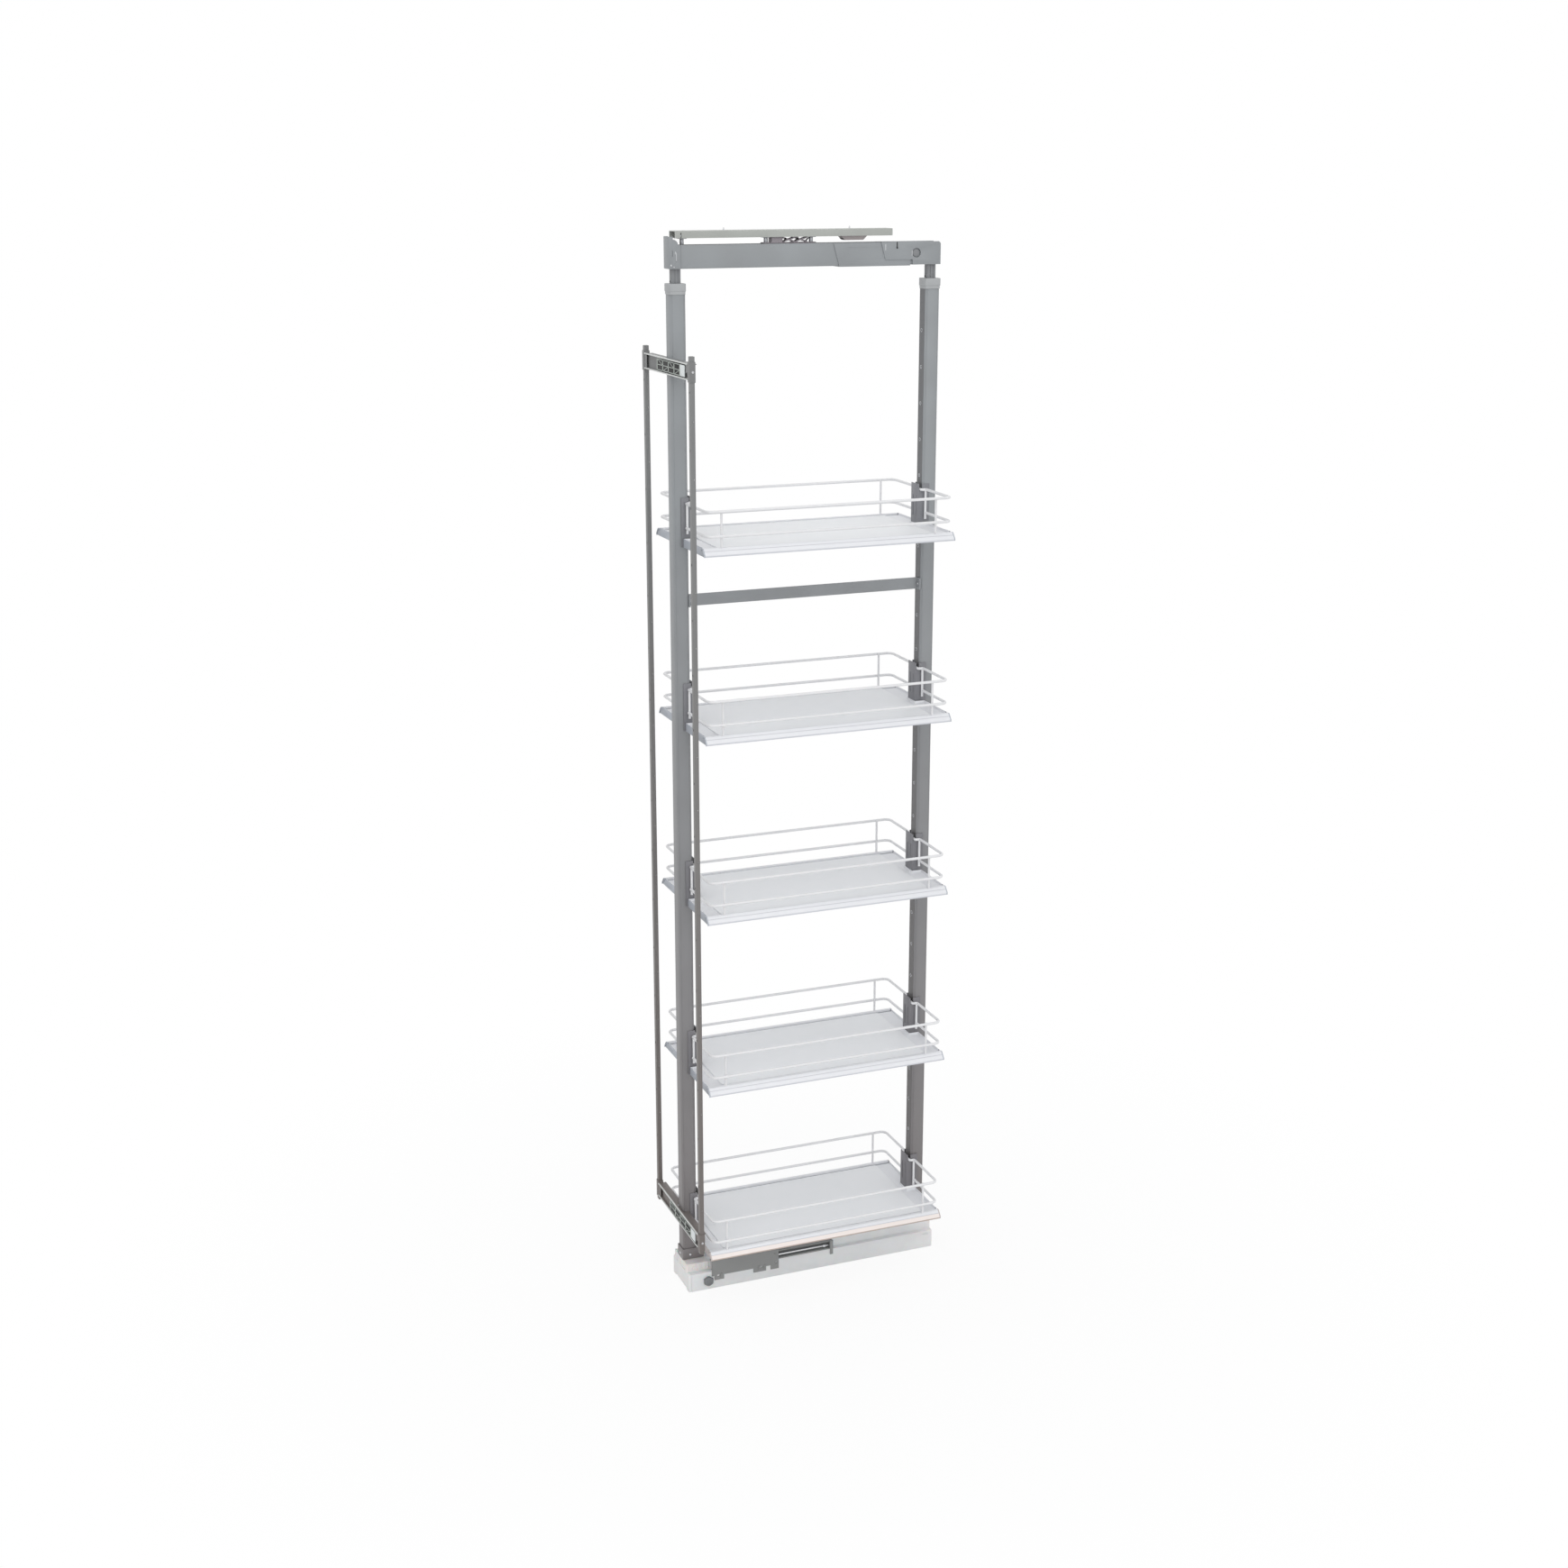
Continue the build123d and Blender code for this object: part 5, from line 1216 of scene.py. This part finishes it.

# %% [markdown]
# An adjuster sits in each bracket: a black tray for the dark recess behind the ribs, pale
# zigzag ribs over it, and a white insert at its right end. The tray comes first, with its two
# screws, a small black wedge past the insert, painted shade in the hollow of the clip, and a
# dark line along its lower edge, painted shade in the gap below it.
# %% Adjuster tray
tray_left = -41.0
tray_right = 77.0
insert_right = 101.0
half_height = 9.5
back_y = web_front_y
front_y = back_y - 1.6
tray_front = front_y + 0.2
insert_back = end_plate_front - 0.1
screw_x = 8.0
screw_start_y = -250.0
screw_radius = 2.4
wedge_chamfer = 7.0


def adjuster_tray(middle_z):
    """The black tray of one adjuster, about the height middle_z."""
    low_z = middle_z - half_height
    tray = block((tray_left, tray_front, low_z), (tray_right, back_y, middle_z + half_height))
    screws = [
        rod((x, screw_start_y, middle_z), (x, back_y - 0.1, middle_z), screw_radius, 24)
        for x in (-screw_x, screw_x)
    ]
    # Painted shade: a black wedge in the hollow of the clip.
    wedge = block((insert_right + 1, tray_front, low_z),
                  (insert_right + 9, insert_back, low_z + 8))
    bevel_edges(wedge, wedge_chamfer, 1, lambda middle, way: (
        abs(way.y) > 0.9 and middle.x < insert_right + 4 and middle.z > low_z + 5
    ))
    # Painted shade: a black line in the gap under the tray.
    gap_shade_line = block((tray_left + 4, tray_front, low_z - 1.6),
                     (insert_right + 3, insert_back, low_z + 0.2))
    return join(soften(tray, 0.15), *screws, soften(wedge, 0.2), gap_shade_line)


# %% [markdown]
# The ribs are bars: three along the tray, one upright at each cell's end, and one across
# each cell, turned about the tray's middle so that they zigzag.
# %% Adjuster ribs
rib_back = back_y - 0.8
rib_half = 0.6
upright_half = 1.7
cells = 4


def adjuster_ribs(middle_z):
    """The zigzag lattice of one adjuster, about the height middle_z."""
    low_z = middle_z - half_height
    high_z = middle_z + half_height
    ribs = [
        block((tray_left, front_y, z - rib_half), (tray_right, rib_back, z + rib_half))
        for z in (low_z + rib_half, middle_z, high_z - rib_half)
    ]
    cell = (tray_right - tray_left) / cells
    for i in range(cells + 1):
        x = tray_left + i * cell
        ribs.append(block((x - upright_half, front_y, low_z), (x + upright_half, rib_back, high_z)))
    diagonal = math.hypot(cell, half_height)
    tilt = math.atan2(half_height, cell)
    for i in range(cells):
        level = -1 if i % 2 else 1
        centre = Vector((tray_left + (i + 0.5) * cell, 0, middle_z + level * half_height / 2))
        rib = block((-diagonal / 2, front_y + 0.05, -0.5), (diagonal / 2, rib_back, 0.5))
        turn = Matrix.Rotation(tilt * level, 4, "Y")
        rib.data.transform(Matrix.Translation(centre * MM) @ turn)
        ribs.append(rib)
    return soften(join(*ribs), 0.08, 1)


# %% [markdown]
# Each adjuster is then put together. The upper one stands for the engineered node, which
# holds both.
# %% Both adjusters
adjuster_heights = {"upper": 1729.5, "lower": 144.0}
for label, middle_z in adjuster_heights.items():
    black_part = adjuster_tray(middle_z)
    lattice = adjuster_ribs(middle_z)
    insert = block((tray_right + 1.7, front_y, middle_z - half_height),
                   (insert_right, insert_back, middle_z + half_height))
    soften(insert, 0.4, 2)
    nodes = ("door_adjusters",) if label == "upper" else ()
    finish(black_part, black_plastic_and_shade, "frame", "adjuster_black", *nodes,
           name=f"{label}_adjuster_tray")
    finish(lattice, pale_ribs, "frame", "adjuster_black", name=f"{label}_adjuster_ribs")
    finish(insert, insert_white, "frame", "adjuster_black", name=f"{label}_adjuster_insert")

# %% [markdown]
# The wire gallery is the shelf's most telling part. A wire is a ring of edges that is
# extruded along straight runs and spun round the bends, which is how a wire bender works:
# feed, bend, feed. One quarter of the gallery is made, and a mirror gives the rest.
# %% Bending wire
wire_radius = 2.5
wire_ring_sides = 14
bend_steps = 6


def bend_wire(start, heading, radius, moves, closed_start=False):
    """Feed and bend a wire: a move is a length, or (radius, way to turn, degrees)."""
    heading = heading.copy()
    place = Vector(start) * MM
    deselect()
    bpy.ops.mesh.primitive_circle_add(
        vertices=wire_ring_sides, radius=radius * MM, location=place,
        fill_type="NGON" if closed_start else "NOTHING",
        rotation=heading.to_track_quat("Z", "Y").to_euler(),
    )
    wire = settle()
    bpy.ops.object.mode_set(mode="EDIT")
    bpy.ops.mesh.select_all(action="SELECT")
    for move in moves:
        if isinstance(move, tuple):
            bend_radius, side, angle = move
            centre = place + side * bend_radius * MM
            axis = heading.cross(side)
            turn = Matrix.Rotation(math.radians(angle), 3, axis)
            bpy.ops.mesh.spin(
                steps=bend_steps, angle=-math.radians(angle), center=centre, axis=axis
            )
            place = centre + turn @ (place - centre)
            heading = turn @ heading
        else:
            step = heading * move * MM
            bpy.ops.mesh.extrude_region_move(TRANSFORM_OT_translate={"value": step})
            place += step
    bpy.ops.object.mode_set(mode="OBJECT")
    return wire


# %% [markdown]
# The top wire starts at the middle of the short end, steps out round the post's carrier,
# runs to the corner, and follows the long side. The low wire starts at the stub. Mirroring
# in X and Y closes both, and the seam rings are merged.
# %% One gallery
top_z = 76.0
low_z = 34.0
end_y = 228.0
side_x = 123.0
corner_radius = 12.0
jog_y = 218.8
jog_radius = 3.2
jog_start = 15.2
stub_x = jog_start + 2 * jog_radius
jog_run = end_y - jog_y - 2 * jog_radius
top_quarter = bend_wire((0, -jog_y, top_z), X, wire_radius, (
    jog_start, (jog_radius, -Y, 90), jog_run, (jog_radius, X, 90),
    side_x - corner_radius - stub_x, (corner_radius, Y, 90), end_y - corner_radius,
))
low_quarter = bend_wire((stub_x - 2, -end_y, low_z), X, wire_radius, (
    side_x - corner_radius - stub_x + 2, (corner_radius, Y, 90), end_y - corner_radius,
), closed_start=True)
stub_radius = 2.1
stub_low_z = 23.5
stub_start = (stub_x - 2.5, -end_y + 1.5, stub_low_z)
stub = bend_wire(stub_start, Z, stub_radius, (top_z - stub_low_z - 1,), True)
upright_radius = 2.0
upright_low_z = 14.2
upright_start = (side_x - 4.4, -200, upright_low_z)
upright = bend_wire(upright_start, Z, upright_radius, (top_z - upright_low_z + 1,), True)
gallery = join(top_quarter, low_quarter, stub, upright)
modify(gallery, "MIRROR", use_axis=(True, True, False), merge_threshold=0.00002)
edit(gallery, (bpy.ops.mesh.remove_doubles, {"threshold": 1e-6}),
     (bpy.ops.mesh.normals_make_consistent, {"inside": False}))
smooth(gallery, 50)
print("gallery faces", len(gallery.data.polygons))

# %% [markdown]
# The trays and carriers are folded sheet, and keep the frame's shape with bent edges. The
# carriers get two pressed ribs on the side that faces the shelf, to stiffen the sheet. The
# panel is a thin board with rounded corners. Every shelf is a copy of the same four pieces.
# %% Shelves
lowest_z = low_high("tray_1")[0].z
shelf_pitch = low_high("tray_2")[0].z - lowest_z
shelf_count = 5

tray_start = from_frame("tray_1", "tray_start", 0.55, 3)
tray_start.data.transform(Matrix.Translation((0, 0, -lowest_z * MM)))

panel_low, panel_high = low_high("panel_1")
board = block(panel_low - Z * lowest_z, panel_high - Z * lowest_z)
bevel_edges(board, 6.0, 6)
soften(board, 0.4, 3)

carrier_start = from_frame("carriers_1", "carrier_start", 0.4)
carrier_start.data.transform(Matrix.Translation((0, 0, -lowest_z * MM)))
pressed_x = 6.5
pressed_y = 213.9
pressed = []
for y in (-pressed_y, pressed_y):
    for x in (-pressed_x, pressed_x):
        pressed.append(soften(rod((x, y, 28), (x, y, 66), 1.1, 16), 0.8, 3))
join(carrier_start, *pressed)

shelf_kinds = {
    "tray": (tray_start, tray_white, "tray_white"),
    "panel": (board, panel_grey, "panel_grey"),
    "gallery": (gallery, wire_white, "wire_white"),
    "carriers": (carrier_start, carrier_grey, "carrier_grey"),
}
for shelf in range(shelf_count):
    rise = (0, 0, lowest_z + shelf * shelf_pitch)
    for kind, (source, material, slot_name) in shelf_kinds.items():
        piece = moved_copy(source, f"{kind}_dressed_{shelf + 1}", rise)
        finish(piece, material, f"shelf_{shelf + 1}", slot_name, f"{kind}_{shelf + 1}")
for source, material, slot_name in shelf_kinds.values():
    bpy.data.objects.remove(source)

# %% [markdown]
# The bar glides are the only nodes that keep their own mesh: they sit deep inside the
# posts. They get the nylon finish.
# %% Nodes that keep their own mesh
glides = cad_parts["bar_glides"]
glides.data.materials.clear()
glides.data.materials.append(nylon)
print("kept", glides.name)

# %% [markdown]
# The floor is a large plane of white paper. Near the frame it takes a faint shadow. Further
# out its own glow takes over, until it is as white as the world behind it and no horizon
# shows. The glow grows with the distance from the frame, so it works from every side.
# %% Floor
floor_half = 60.0
clear_radius = 0.2
white_radius = 1.4
near_glow = 0.9
deselect()
bpy.ops.mesh.primitive_plane_add(size=2 * floor_half, location=(0, 0, 0))
floor = settle()
floor.name = "studio_floor"
floor_material = bpy.data.materials.new("studio_floor_paper")
floor_material.use_nodes = True
floor_tree = floor_material.node_tree
paper = floor_tree.nodes["Principled BSDF"]
paper.inputs["Base Color"].default_value = (0.86, 0.86, 0.86, 1)
paper.inputs["Roughness"].default_value = 0.9
spot = Socket(floor_tree, floor_tree.nodes.new("ShaderNodeTexCoord").outputs["Object"])
distance = spot.node("ShaderNodeVectorMath", {"operation": "LENGTH"}, {0: spot}, output="Value")
rising = ((distance - clear_radius) / (white_radius - clear_radius)).clamped()
share = seen_or_mirrored(floor_tree) * (rising * (1 - near_glow) + near_glow)
glow = share.node("ShaderNodeEmission", {}, {})
end_with(floor_tree, share, Socket(floor_tree, paper.outputs[0]), glow, "Material Output")
floor.data.materials.append(floor_material)
print("floor", 2 * floor_half, "metres wide")
